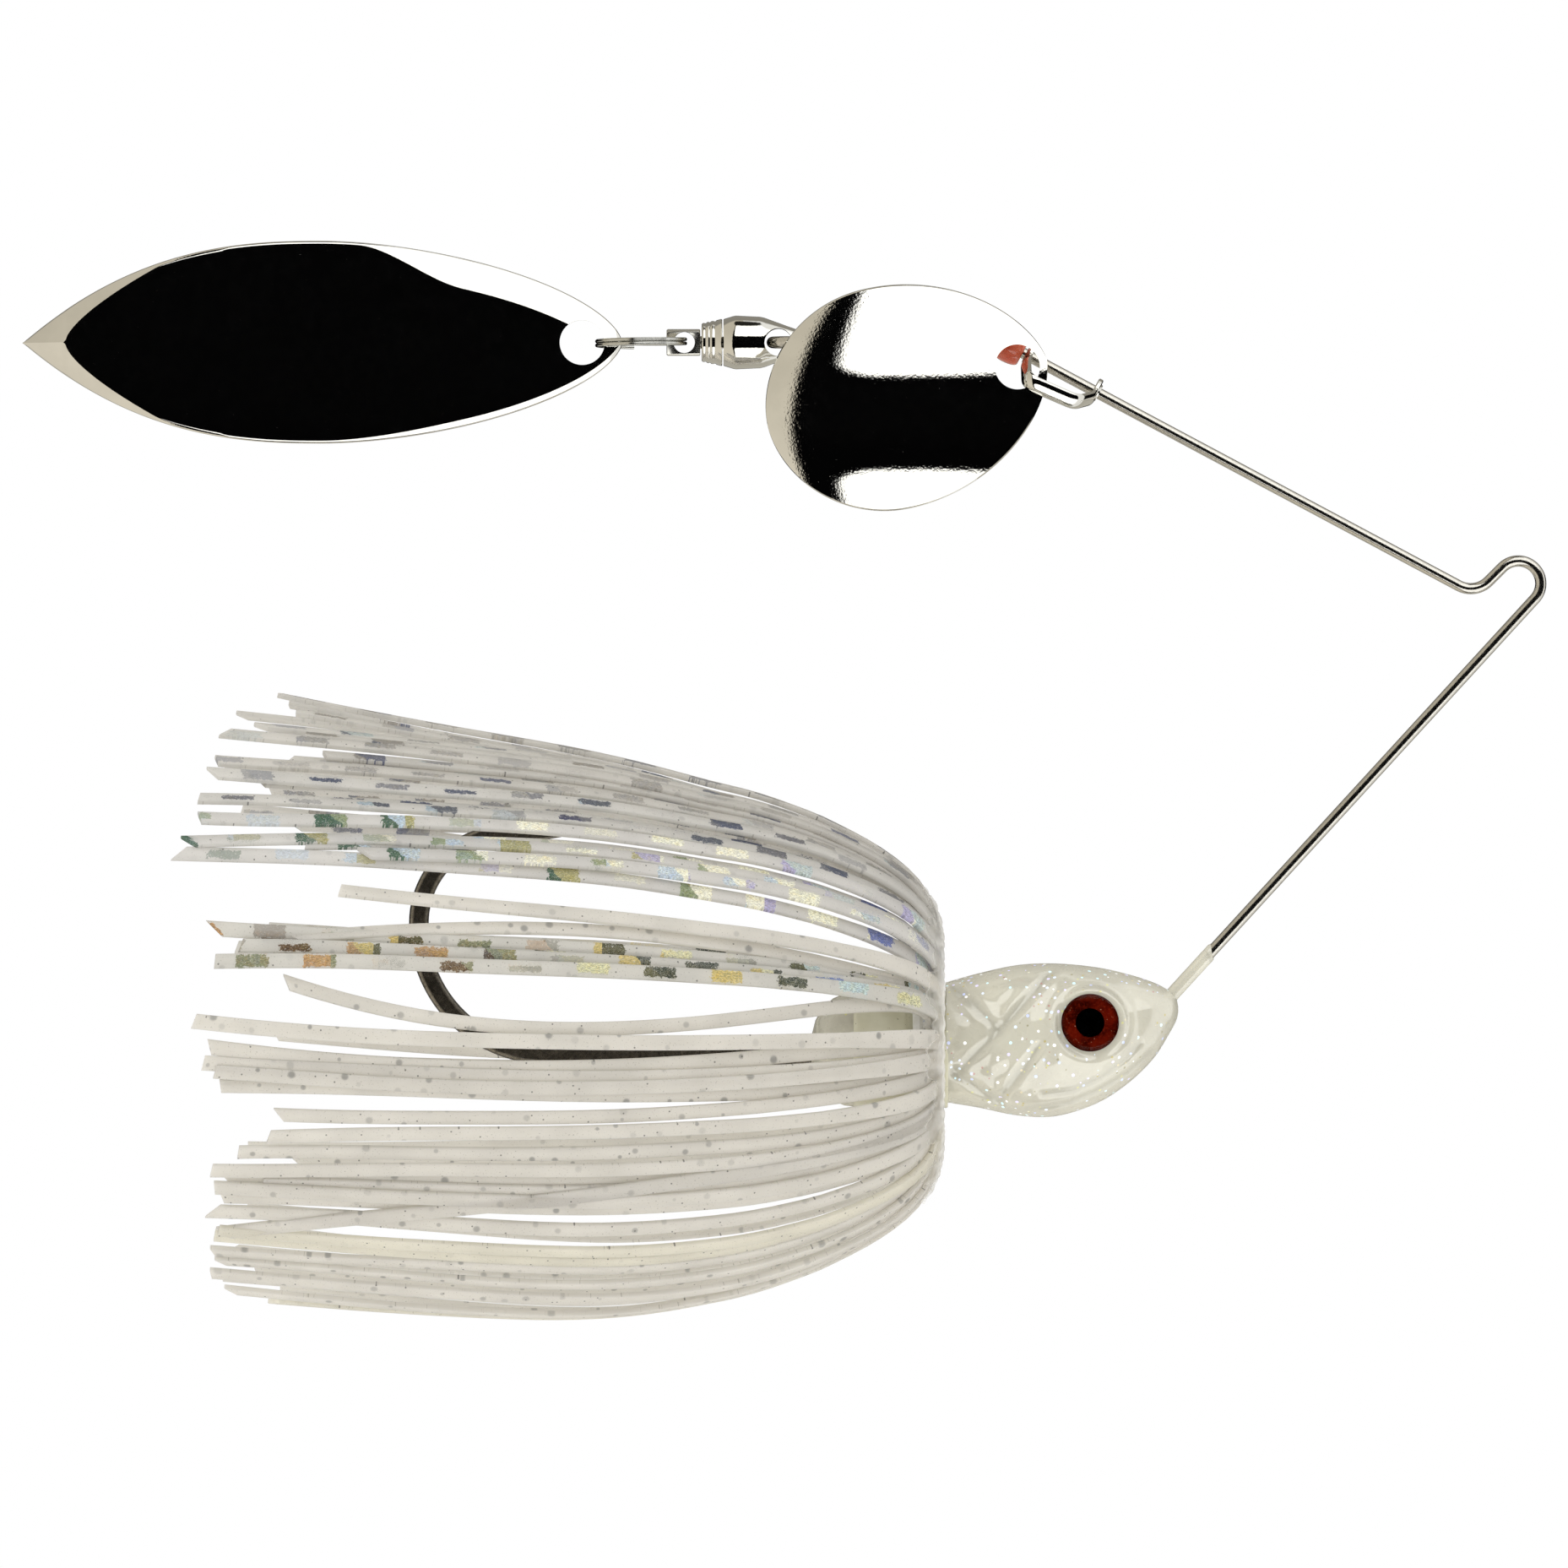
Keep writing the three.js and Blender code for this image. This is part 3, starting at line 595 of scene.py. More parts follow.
def foil_patches(s, along, across, lot, where, foil, seed):
    """Torn rectangles of printed foil, evenly spaced down the strand. The palette runs from root to tip."""
    palette, amount, fade, drift, cover = foil
    torn = s.sub(s.noise(2.2, 4, 0.75, where), 0.5)
    place = s.add(s.mul(along, 1 / FOIL_PITCH), s.mul(lot, 0.37))
    place = s.add(place, s.mul(torn, 0.24))
    cell, within = s.math("FLOOR", place), s.math("FRACT", place)
    name = s.add(s.mul(lot, 3.7), seed)
    value, pick = s.white(s.combine(cell, name, 0.5))
    other = s.white(s.combine(cell, name, 9.5))[1]
    here = s.mul(s.above(amount, value), s.math("LESS_THAN", within, FOIL_SHARE))
    centre = s.mul(s.sub(s.part(pick, 1), 0.5), 0.7)
    off = s.math("ABSOLUTE", s.add(s.sub(across, centre), s.mul(torn, 1.7)))
    width = s.range(s.part(pick, 2), 0.0, 1.0, cover * 0.32, cover, smooth=False)
    inside = s.mul(here, s.above(width, off))
    pits = s.range(s.noise(6.5, 3, 0.8, where), 0.34, 0.42)
    mask = s.mul(inside, pits)
    strength = s.range(s.part(other, 1), 0.30, 0.34, 0.45, 1.0)
    # Some patches are torn across and show a second colour.
    slanted = s.add(within, s.mul(across, 0.10))
    second = s.above(slanted, s.range(s.part(other, 0), 0.0, 1.0, 0.12, 0.75, smooth=False))
    down = s.mul(along, drift / FOIL_REACH)
    chosen = s.add(s.mul(s.part(pick, 0), 1 - drift), down)
    chosen = s.add(chosen, s.mul(second, 0.23))
    tint = s.ramp(s.math("MINIMUM", chosen, 0.999), palette, hard=True)
    shimmer = s.ramp(s.noise(1.7, 3, 0.6, where), [(0.3, (0.86, 0.87, 0.93)), (0.5, (1.0, 1.0, 1.0)),
                                                             (0.7, (1.0, 0.94, 0.80))])
    tint = s.mix(1.0, tint, shimmer, blend="MULTIPLY")
    streaks = s.combine(s.mul(along, 0.6), s.mul(wide_of(s, across, lot), 1.8))
    grit = s.range(s.noise(6.5, 3, 0.75, streaks), 0.36, 0.64, 0.62, 1.30)
    tint = s.mix(1.0, tint, s.combine(grit, grit, grit), blend="MULTIPLY")
    return s.mul(mask, s.mul(strength, fade)), tint


def wide_of(s, across, lot):
    """Millimetres across a strand, with each strand in a place of its own."""
    return s.add(s.mul(across, HALF_WIDTH), s.mul(lot, LOT_APART))


GREY_FOIL = [(0.0, (0.43, 0.41, 0.38)), (0.24, (0.34, 0.33, 0.31)), (0.44, (0.27, 0.27, 0.29)),
             (0.60, (0.04, 0.06, 0.15)), (0.72, (0.50, 0.56, 0.55)), (0.80, (0.30, 0.27, 0.23)),
             (0.90, (0.06, 0.08, 0.13))]
NAVY_FOIL = [(0.0, (0.05, 0.07, 0.14)), (0.26, (0.17, 0.17, 0.19)), (0.42, (0.03, 0.035, 0.12)),
             (0.56, (0.26, 0.26, 0.28)), (0.70, (0.06, 0.08, 0.12)), (0.84, (0.40, 0.39, 0.37)),
             (0.93, (0.44, 0.54, 0.60))]
BRIGHT_FOIL = [(0.0, (0.05, 0.06, 0.06)), (0.10, (0.20, 0.24, 0.50)), (0.20, (0.60, 0.68, 0.66)),
               (0.32, (0.95, 0.94, 0.76)), (0.48, (0.52, 0.48, 0.68)), (0.56, (0.97, 0.95, 0.78)),
               (0.68, (0.48, 0.45, 0.22)), (0.75, (0.58, 0.68, 0.78)), (0.84, (0.32, 0.38, 0.22)),
               (0.93, (0.08, 0.16, 0.11))]
GOLD_FOIL = [(0.0, (0.05, 0.06, 0.05)), (0.12, (0.22, 0.30, 0.62)), (0.22, (0.58, 0.70, 0.70)),
             (0.32, (0.05, 0.065, 0.045)), (0.42, (0.82, 0.80, 0.52)), (0.52, (0.12, 0.12, 0.06)),
             (0.62, (0.70, 0.57, 0.22)), (0.72, (0.30, 0.32, 0.20)), (0.82, (0.56, 0.35, 0.17)),
             (0.90, (0.50, 0.60, 0.68)), (0.96, (0.15, 0.10, 0.06))]

MILK = (0.735, 0.705, 0.645)
CREAM = (0.765, 0.73, 0.625)


def collar_rubber():
    s = Shader("collar_rubber", Roughness=0.3, Subsurface_Weight=0.3,
               Subsurface_Radius=(0.001, 0.001, 0.0009), Subsurface_Scale=1.0)
    cloud = s.noise(1.2, 3)
    s.set("Base Color", s.mix(s.range(cloud, 0.3, 0.7), (0.74, 0.73, 0.68), (0.84, 0.83, 0.79)))
    s.bump(cloud, 0.05)
    return s.material


def iris():
    s = Shader("iris", Roughness=0.35, Specular_IOR_Level=0.0)
    patch = s.noise(0.42, 2)
    tone = s.mix(s.range(patch, 0.40, 0.62), (0.03, 0.001, 0.0), (0.135, 0.006, 0.001))
    fibre = s.noise(5.0, 4, 0.75)
    tone = s.mix(s.range(fibre, 0.42, 0.80), tone, (0.24, 0.018, 0.006))
    tone = s.mix(s.range(s.noise(8.0, 1), 0.74, 0.78), tone, (0.85, 0.50, 0.35))
    away = s.tree.nodes.new("ShaderNodeVectorMath")
    away.operation = "DISTANCE"
    s.put(away.inputs[0], s.stretch((PER_METRE, 0.0, PER_METRE)))
    away.inputs[1].default_value = (EYE[0], 0.0, EYE[1])
    rim = s.range(away.outputs["Value"], 1.75, 2.25, 0.0, 0.75)
    tone = s.mix(rim, tone, (0.02, 0.001, 0.0))
    s.set("Base Color", tone)
    return s.material


def pupil():
    s = Shader("pupil", Roughness=0.3, Specular_IOR_Level=0.0)
    s.set("Base Color", s.mix(s.noise(4.0, 2), (0.0, 0.0, 0.0), (0.001, 0.001, 0.001)))
    return s.material


def clear_resin():
    s = Shader("clear_resin", Transmission_Weight=1.0, IOR=1.2)
    s.set("Base Color", s.mix(s.noise(0.6, 2), (1.0, 1.0, 1.0), (0.97, 0.97, 0.96)))
    s.set("Roughness", s.range(s.noise(2.0, 2), 0.4, 0.8, 0.0, 0.03))
    return s.material


def red_bead():
    s = Shader("red_bead", IOR=1.5, Coat_Weight=0.6, Coat_Roughness=0.05)
    s.set("Base Color", s.mix(s.range(s.noise(0.9, 2), 0.35, 0.7), (0.66, 0.095, 0.04), (0.76, 0.17, 0.09)))
    s.set("Roughness", s.range(s.noise(3.0, 2), 0.3, 0.7, 0.10, 0.2))
    return s.material


def floor_paint():
    s = Shader("floor", Roughness=0.6, Emission_Color=(1.0, 1.0, 1.0), Emission_Strength=0.35)
    s.set("Base Color", s.mix(s.noise(0.004, 2), (0.84, 0.84, 0.84), (0.86, 0.86, 0.86)))
    return s.material


NICKEL = mirror_nickel("nickel")
PRESSED_NICKEL = mirror_nickel("pressed_nickel", (0.78, 0.765, 0.715), rough=0.03)
GRAINY_NICKEL = mirror_nickel("grainy_nickel", (0.84, 0.825, 0.78), peel=(5.0, 0.0040), wave=0.25)
LUG_NICKEL = mirror_nickel("lug_nickel", (0.80, 0.785, 0.73), rough=0.2)
WIRE = drawn_steel("stainless_wire", (0.68, 0.655, 0.60), 0.13)
RING_STEEL = drawn_steel("ring_steel", (0.66, 0.655, 0.62), 0.10)
BALL_STEEL = drawn_steel("ball_steel", (0.7, 0.7, 0.7), 0.06)
PEARL = pearl_paint("pearl_paint", ((1.6, 0.135, 0.0, PALE_FLAKES, 0.3),
                                    (1.7, 0.10, 31.0, GOLD_FLAKES, 0.0)))
PLAIN_PEARL = pearl_paint("plain_pearl", ((0.9, 0.10, 0.0, PALE_FLAKES, 0.2),))

# ---- wire ----

ARM = Vector((-math.cos(ARM_SLOPE), 0, math.sin(ARM_SLOPE)))
LEG = Vector((math.cos(LEG_ANGLE), 0, math.sin(LEG_ANGLE)))
LEG_FOOT = Vector((TIE_R * LEG.z, 0, -TIE_R * LEG.x))


def arm_point(x):
    return Vector((x, 0, ARM_CORNER[1] + (ARM_CORNER[0] - x) * math.tan(ARM_SLOPE)))


def leg_point(x):
    return LEG_FOOT + LEG * ((x - LEG_FOOT.x) / LEG.x)


def build_wire():
    tie = arc_corners(Vector((0, 0, 0)), TIE_R, LEG_ANGLE - math.pi / 2,
                      math.radians(225) - LEG_ANGLE, 2)
    corners = [
        Vector((HOOK_EYE_X, -1.1, HOOK_Z)),
        Vector((HOOK_EYE_X, 1.45, HOOK_Z)),
        Vector((HOOK_EYE_X + 2.6, 1.45, HOOK_Z)),
        leg_point(-31.2),
        *tie,
        Vector((ARM_CORNER[0], 0, ARM_CORNER[1])),
        arm_point(ARM_END_X),
        Vector((LOOP_X + 4.6, 0, AXIS_Z + 0.25)),
        Vector((LOOP_X + 1.7, -LOOP_R, AXIS_Z)),
        Vector((LOOP_X - LOOP_R, -LOOP_R, AXIS_Z)),
        Vector((LOOP_X - LOOP_R, LOOP_R, AXIS_Z)),
        Vector((LOOP_X + LOOP_R, LOOP_R, AXIS_Z)),
        Vector((LOOP_X + LOOP_R, 0.75, AXIS_Z)),
    ]
    path = rounded(corners, [0.8, 0.9, 0.9, TIE_R, TIE_R, 2, 2.5, 1.2, 1.2, 1.8, 1.8, 0.9])
    pile = Pile(*sweep(path, X, lambda i, n: ellipse(WIRE_R, WIRE_R, 20)))
    make("wire_form_fine", pile, [WIRE], "frame", ["wire_form"])


build_wire()


def build_sleeve():
    """The paint that has run up the wire from the nose, with a ragged end."""
    start, end = leg_point(-28.3), leg_point(-23.9)
    pile = Pile()
    rows = 26

    def section(i, n):
        t = i / (n - 1)
        lip = 0.22 * math.exp(-((t - 0.10) / 0.05) ** 2)
        r = 0.56 + lip + 0.02 * lattice.noise(Vector((i * 0.7, 0, 0)))
        r = r if i < n - 1 else WIRE_R + 0.01
        return ellipse(r, r, 20)

    path = [start.lerp(end, k / (rows - 1)) for k in range(rows)]
    verts, faces = sweep(path, Y, section)
    for k in range(20 * 3):
        v = verts[len(verts) - 1 - k]
        v -= LEG * (0.35 * (1 + math.sin(k % 20 * math.tau / 20)))
    pile.add(verts, faces)
    make("paint_sleeve", pile, [PLAIN_PEARL], "frame")


build_sleeve()

# ---- hook ----


def build_hook():
    eye_r = 1.6
    left, right, low, high = HOOK_EYE_X - eye_r, HOOK_EYE_X + eye_r, HOOK_Z - eye_r, HOOK_Z + eye_r
    corners = upright((HOOK_EYE_X - 0.7, low), (right, low), (right, high), (left, high),
                      (HOOK_EYE_X - 3.4, HOOK_Z), (HOOK_BACK_X, HOOK_Z), (HOOK_BACK_X, HOOK_POINT_Z),
                      (HOOK_TIP_X, HOOK_POINT_Z))
    path = rounded(corners, [1.55, 1.55, 1.0, 1.2, 10.2, 7], step=4, longest=1.2)
    tip_length = 4.6
    # The forged wire: flat sides, a narrow chamfer and a rounded back and belly.
    profile = [(0.50, -0.42), (0.50, 0.42), (0.40, 0.60), (0.22, 0.74), (0.0, 0.78),
               (-0.22, 0.74), (-0.40, 0.60), (-0.50, 0.42), (-0.50, -0.42), (-0.40, -0.60),
               (-0.22, -0.74), (0.0, -0.78), (0.22, -0.74), (0.40, -0.60)]
    worn = [0.2, 0.2, 1.0, 0.2, 0.05, 0.2, 1.0, 0.2, 0.2, 1.0, 0.2, 0.05, 0.2, 1.0]
    end = path[-1]

    def section(i, n):
        left = (end - path[i]).length if i > n - 40 and path[i].z > HOOK_POINT_Z - 0.5 else 99
        k = max(0.03, min(1.0, (left / tip_length) ** 0.8))
        return [(a * k, b * k) for a, b in profile]

    verts, faces = sweep(path, Y, section)
    pile = Pile(verts, faces, edge=[worn[i % len(worn)] for i in range(len(verts))])
    # The barb is a sliver raised from the inside of the point.
    root, tip = upright((-77.2, HOOK_POINT_Z - 0.45), (-79.3, HOOK_POINT_Z - 1.35))
    barb, barb_faces = sweep([root.lerp(tip, t) for t in (0, 0.35, 0.7, 1)], Y,
                             lambda i, n: ellipse(0.30 * (1 - i / 3.15), 0.32 * (1 - i / 3.15), 8))
    pile.add(barb, barb_faces, edge=[0.4] * len(barb))
    make("hook_forged", pile, [black_nickel()], "frame", ["hook"], sharp=28)


build_hook()

# ---- head ----

# x, top, bottom, half width of the painted head, from the nose back.
HEAD_LINE = [(-26.85, -33.4, -33.9, 0.25), (-27.0, -32.75, -34.5, 0.95), (-27.5, -32.2, -35.45, 1.75),
             (-28.8, -31.5, -37.5, 3.0), (-30.8, -30.85, -39.45, 4.1), (-33.3, -30.3, -41.05, 4.9),
             (-36.5, -30.0, -42.05, 5.2), (-39.5, -30.12, -42.0, 5.15), (-42.5, -30.75, -41.4, 4.9),
             (-45.2, -31.5, -40.95, 4.6)]
GILLS = [[(-45.0, -31.2), (-41.2, -35.1)], [(-36.7, -30.4), (-41.5, -35.7), (-44.3, -38.4)],
         [(-38.0, -36.5), (-41.0, -40.8)], [(-44.8, -38.4), (-41.0, -40.9)]]
MOUTH = [[(-38.9, -41.5), (-35.7, -41.0), (-33.3, -40.0), (-30.9, -38.6), (-29.0, -36.9)],
         [(-37.6, -40.3), (-35.2, -40.0), (-32.9, -38.9), (-30.9, -37.4), (-29.9, -36.2)]]


def distance_to(line, x, z):
    best = 99.0
    for (ax, az), (bx, bz) in zip(line, line[1:]):
        dx, dz = bx - ax, bz - az
        t = min(max(((x - ax) * dx + (z - az) * dz) / (dx * dx + dz * dz), 0), 1)
        best = min(best, math.hypot(x - ax - dx * t, z - az - dz * t))
    return best


def relief(x, z):
    """How far the head's side is pressed in at a place, and how much painted groove shade the paint gets
    there.
    """
    depth, painted_groove_shade = 0.0, 0.0
    for line in GILLS:
        d = distance_to(line, x, z)
        press = math.exp(-(d / 0.42) ** 2)
        depth += 0.26 * press - 0.05 * math.exp(-((d - 1.15) / 0.5) ** 2)
        painted_groove_shade = max(painted_groove_shade, press)
    for line in MOUTH:
        d = distance_to(line, x, z)
        press = math.exp(-(d / 0.26) ** 2)
        depth += 0.17 * press
        painted_groove_shade = max(painted_groove_shade, press * 0.7)
    return depth, painted_groove_shade


def build_head():
    stations = through([(x, 0, 0) for x, *_ in HEAD_LINE], 190)
    tops = through([(x, t, 0) for x, t, _, _ in HEAD_LINE], 500)
    bottoms = through([(x, b, 0) for x, _, b, _ in HEAD_LINE], 500)
    halves = through([(x, h, 0) for x, _, _, h in HEAD_LINE], 500)

    def at(curve, x):
        low, high = 0, len(curve) - 1
        while high - low > 1:
            middle = (low + high) // 2
            if curve[middle].x > x:
                low = middle
            else:
                high = middle
        a, b = curve[low], curve[high]
        return a.y + (b.y - a.y) * min(max((x - a.x) / ((b.x - a.x) or 1), 0), 1)

    around = 220
    verts, painted_groove_shades = [], []
    for p in stations:
        top, bottom, half = at(tops, p.x), at(bottoms, p.x), at(halves, p.x)
        for k in range(around):
            a = math.tau * k / around
            c, s = math.cos(a), math.sin(a)
            y = math.copysign(abs(c) ** 0.92, c) * half
            z = (top + bottom) / 2 + math.copysign(abs(s) ** 0.96, s) * (top - bottom) / 2
            depth, painted_groove_shade = relief(p.x, z)
            flank = smoothstep(0.15, 0.6, abs(c))
            fade = flank * smoothstep(-45.2, -44.6, p.x)
            y -= math.copysign(min(depth * fade, abs(y) * 0.6), c)
            r = math.hypot(p.x - EYE[0] - 0.12, z - EYE[1])
            if abs(c) > 0.5 and r < 4.2:
                lip = 0.10 * math.exp(-((r - 3.25) / 0.35) ** 2)
                y = math.copysign(abs(y) + lip, c)
                floor = EYE_FACE_Y + 0.27
                y = math.copysign(floor + (abs(y) - floor) * smoothstep(2.55, 3.05, r), c)
            verts.append(Vector((p.x, y, z)))
            painted_groove_shades.append(painted_groove_shade * fade)
    pile = Pile(verts, rings_to_faces(len(stations), around), painted_groove_shade=painted_groove_shades)
    # The flange behind the head, the collar's seat, the keeper and its rounded end.
    axis = -X
    side = Y
    keeper = [(45.05, 0), (45.05, 4.55), (45.2, 4.62), (45.42, 4.55), (45.5, 4.0), (48.2, 4.0),
              (48.35, 4.15), (48.6, 4.4), (50.2, 4.72), (52.1, 4.95), (52.35, 4.85), (52.5, 4.5)]
    dome = [(52.5, 4.5), (53.2, 4.42), (54.1, 4.05), (54.9, 3.35), (55.5, 2.3), (55.8, 1.1), (55.85, 0)]
    at_axis = Vector((0, 0, HEAD_AXIS_Z - 0.5))
    verts, faces = turned(keeper + [(52.5, 0)], 64, at_axis, axis, side)
    pile.add(verts, faces, 1)
    verts, faces = turned([(52.45, 0)] + dome, 48, at_axis, axis, side)
    pile.add(verts, faces, 2)
    # The barb below the keeper, which stops the skirt from sliding back.
    root, tip = upright((-48.6, -40.6), (-52.6, -42.1))
    barb, barb_faces = sweep([root.lerp(tip, t) for t in (0, 0.3, 0.6, 0.85, 1)], Y,
                             lambda i, n: ellipse(1.5 * (1 - i / 4.2) + 0.05, 0.9 * (1 - i / 4.2) + 0.05,
                                                  14))
    pile.add(barb, barb_faces, 1)
    make("head_painted", pile, [PEARL, keeper_paint(), PEARL], "frame", ["head"], sharp=50)


build_head()

PUPIL_R = 1.13


def build_eye(side, name):
    out = Y * side
    face = EYE_FACE_Y + 0.1
    at = Vector((EYE[0], 0, EYE[1])) + out * face
    disc = [(0, 0), (0, EYE_R), (0.22, EYE_R), (0.26, EYE_R - 0.04), (0.26, PUPIL_R), (0.26, 0)]
    foil = Pile(*turned(disc, 72, at, out, X))
    foil.add(*turned([(0.24, 0), (0.24, PUPIL_R), (0.29, PUPIL_R), (0.29, 0)], 64, at, out, X), slot=1)
    make(f"eye_disc_{name}", foil, [IRIS, PUPIL], "frame", [f"eye_foil_{name}"])
    bends = [math.pi / 2 * k / 14 for k in range(1, 14)]
    cap = [(0.12 + 0.32 * math.sin(t), EYE_R * math.cos(t)) for t in bends]
    dome = [(0, 0), (0, EYE_R), (0.12, EYE_R + 0.02), *cap, (0.44, 0)]
    lens = Pile(*turned(dome, 72, Vector((EYE[0], 0, EYE[1])) + out * (face + 0.32), out, X))
    make(f"eye_lens_{name}", lens, [RESIN], "frame", [f"eye_dome_{name}"])


IRIS, PUPIL, RESIN = iris(), pupil(), clear_resin()
build_eye(-1, "near")
build_eye(1, "far")

# ---- skirt ----


def build_collar():
    profile = [(-0.95, 4.1), (-0.95, 4.6), (-0.8, 4.85), (-0.4, 4.98), (-0.15, 4.86), (0.15, 4.86),
               (0.4, 4.98), (0.8, 4.85), (0.95, 4.6), (0.95, 4.1), (-0.95, 4.1)]
    pile = Pile(*turned(profile, 72, Vector((COLLAR_X, 0, HEAD_AXIS_Z)), -X, Y))
    make("skirt_collar_band", pile, [collar_rubber()], "frame", ["skirt_collar"])


build_collar()

# A strand seen from the side: distance behind the collar, and distance from the skirt's axis.
STRAND_LINE = [(0.0, 4.6), (-0.55, 5.5), (-1.05, 7.0), (-1.1, 9.0), (-0.45, 11.2), (1.0, 13.3),
               (3.5, 15.3), (6.3, 16.9), (9.5, 18.4), (15.6, 20.4), (26, 22.2), (40, 22.6), (62, 22.3)]
STRAND_W = 1.12
STRAND_T = 0.42
STATIONS = 46


def strand(pile, rng, lot, angles, tip_x, layer, wave=0.3, twist=14.0):
    """One cut strip of silicone. angles are at its root, half way and at its tip."""
    root, middle, tip = (math.radians(a) for a in angles)
    reach = COLLAR_X - tip_x
    line = [p for p in through(STRAND_LINE, 120) if p.x < reach]
    line.append(Vector((reach, line[-1].y, 0)))
    phase, second = rng.uniform(0, math.tau), rng.uniform(0, math.tau)
    sway = wave * rng.uniform(0.5, 1.4)
    path, outs = [], []
    for p in through([(p.x, p.y) for p in line[::3] + [line[-1]]], STATIONS, 1.12):
        t = min(max(p.x / reach, 0.0), 1.0)
        angle = root * (1 - t) * (1 - 2 * t) + 4 * middle * t * (1 - t) + tip * t * (2 * t - 1)
        free = smoothstep(8, 55, p.x)
        angle += sway * free * (math.sin(p.x * 0.075 + phase) + 0.5 * math.sin(p.x * 0.19 + second)) * 0.06
        out = Vector((0, -math.cos(angle), math.sin(angle)))
        lift = (1.9 + 3.9 * math.sin(angle)) * (max(0.0, p.x - 16) / 38) ** 1.35
        bow = 0.4 * sway * free * math.sin(p.x * 0.11 + second)
        path.append(Vector((COLLAR_X - p.x, 0, HEAD_AXIS_Z)) + out * (p.y + lift + bow))
        outs.append(out)
    slant = rng.choice((-1, 1)) * (rng.uniform(0.7, 1.2) if rng.random() < 0.3 else rng.uniform(0.05, 0.4))
    width = STRAND_W * rng.uniform(0.92, 1.06)
    turn = math.radians(rng.uniform(-twist, twist))
    verts, marks = [], {"along": [], "across": [], "lot": []}
    size, length = 0, 0.0
    for i, p in enumerate(path):
        t = (path[min(i + 1, len(path) - 1)] - path[max(i - 1, 0)]).normalized()
        across = X.cross(outs[i])
        across = (across - t * across.dot(t)).normalized()
        normal = across.cross(t).normalized()
        if i:
            length += (p - path[i - 1]).length
        a = turn * smoothstep(12, 60, length) * (1 + 0.5 * math.sin(length * 0.09 + phase))
        wide = across * math.cos(a) + normal * math.sin(a)
        thick = normal * math.cos(a) - across * math.sin(a)
        grow = 1.0 + 0.28 * smoothstep(1, 6, length) * smoothstep(18, 8, length)
        ring = slab(width * grow, STRAND_T, 0.07)
        size = len(ring)
        inward = -normal if normal.dot(outs[i] + X * 0.5) > 0 else normal
        sunk = p + inward * layer * 0.44 * (1 - 0.3 * smoothstep(10, 40, length))
        end = slant if i == len(path) - 1 else 0.35 * slant if i == len(path) - 2 else 0.0
        for u, v in ring:
            verts.append(sunk + wide * u + thick * v + t * (end * u))
            marks["along"].append(length)
            marks["across"].append(u / (width * grow / 2))
            marks["lot"].append(float(lot))
    pile.add(verts, rings_to_faces(len(path), size), **marks)


# Bundle: its silicone, then each strand's angle at the root, half way and at the tip (0 faces -Y, 90 is
# up), and its tip's x. A bundle's last number says how much its strands wander.
BUNDLES = {
    "crown": ("grey", [(86, 80, 83, -97.6), (82, 77, 76, -96.2), (78, 73.5, 67, -98.8), (72, 66, 61, -101.6),
                       (69, 63, 57.5, -96.4), (66, 59.3, 54.5, -102.1), (75, 70, 64.5, -95.4),
                       (64, 57, 52.5, -98.6),
                       (71, 64.8, 59.5, -93.8)], 0.3),
    "shoulder": ("mixed", [(60, 54.6, 50, -102.4), (57, 52, 47.5, -94), (54, 49.5, 45, -103.4)], 0.2),
    "side": ("bright", [(49, 45.9, 41.5, -103.3), (46, 43.8, 39.3, -95), (43, 41.6, 37.5, -104.1),
                        (39, 39, 36.3, -90.5), (35, 36.8, 34.7, -104.8)], 0.15),
    "crown_rear": ("grey", [(96, 100, 98, -97), (103, 107, 110, -101), (110, 114, 117, -98),
                            (117, 121, 125, -102),
                            (124, 128, 131, -99), (131, 134, 137, -101.5), (138, 139, 140, -97)], 0.35),
    "clear_lone": ("speckled", [(26, 26.5, 28.8, -92.4), (21, 24.3, 20.5, -96)], 0.05),
    "middle": ("gold", [(20, 20.3, 21.7, -102), (17.5, 17.7, 18, -100), (15.5, 15.4, 15.2, -102),
                        (18.6, 18.8, 19.8, -98.5)], 0.12),
    "middle_rear": ("gold", [(161, 161, 160, -99), (164, 163.5, 163, -102)], 0.15),
    "wavy_lone": ("speckled", [(16, 4.0, 11.8, -96.4)], 0.1),
    "centre": ("speckled", [(2.5, 1.2, 5, -103.6), (1, -4.0, 0, -102.4), (-5, -6, -2.2, -102.9),
                            (-6, -8, -4.6, -102), (-12, -9.6, -7, -101.6), (-13, -14, -12.5, -97.1),
                            (-19, -17, -17, -97.9)], 0.1),
    "centre_rear": ("speckled", [(181, 183, 179.5, -99), (186, 186, 184, -102), (189, 188.5, 186.5, -96)],
                    0.2),
    "lower": ("speckled", [(-25, -21.5, -21, -100.3), (-28, -25.2, -24, -102.4), (-31, -28.6, -26.6, -101.5),
                           (-34, -30.4, -28, -98.5), (-37, -32.6, -29.6, -102.2), (-42, -35.4, -32, -101.7),
                           (-46, -40.4, -36.4, -102.4), (-30, -31, -42, -101.6)], 0.18),
    "cream": ("cream", [(-52, -46.4, -41, -102), (-58, -51.4, -44.6, -102.4)], 0.08),
    "keel": ("speckled", [(-63, -54.6, -50, -102.6), (-68, -59, -54, -102), (-73, -64.5, -58.6, -102.8),
                          (-79, -72, -65, -102), (-85, -80, -72, -101.4)], 0.15),
    "keel_cream": ("cream", [(-91, -88, -83, -98.2)], 0.05),
    "lower_rear": ("speckled", [(204, 203.5, 203, -101), (210, 208, 206, -97), (217, 213, 210, -102),
                                (224, 218, 213, -99), (232, 226, 219, -101), (241, 234, 226, -98),
                                (249, 240, 234, -102), (257, 248, 241, -100), (264, 257, 250, -98),
                                (271, 266, 262, -96)], 0.2),
}
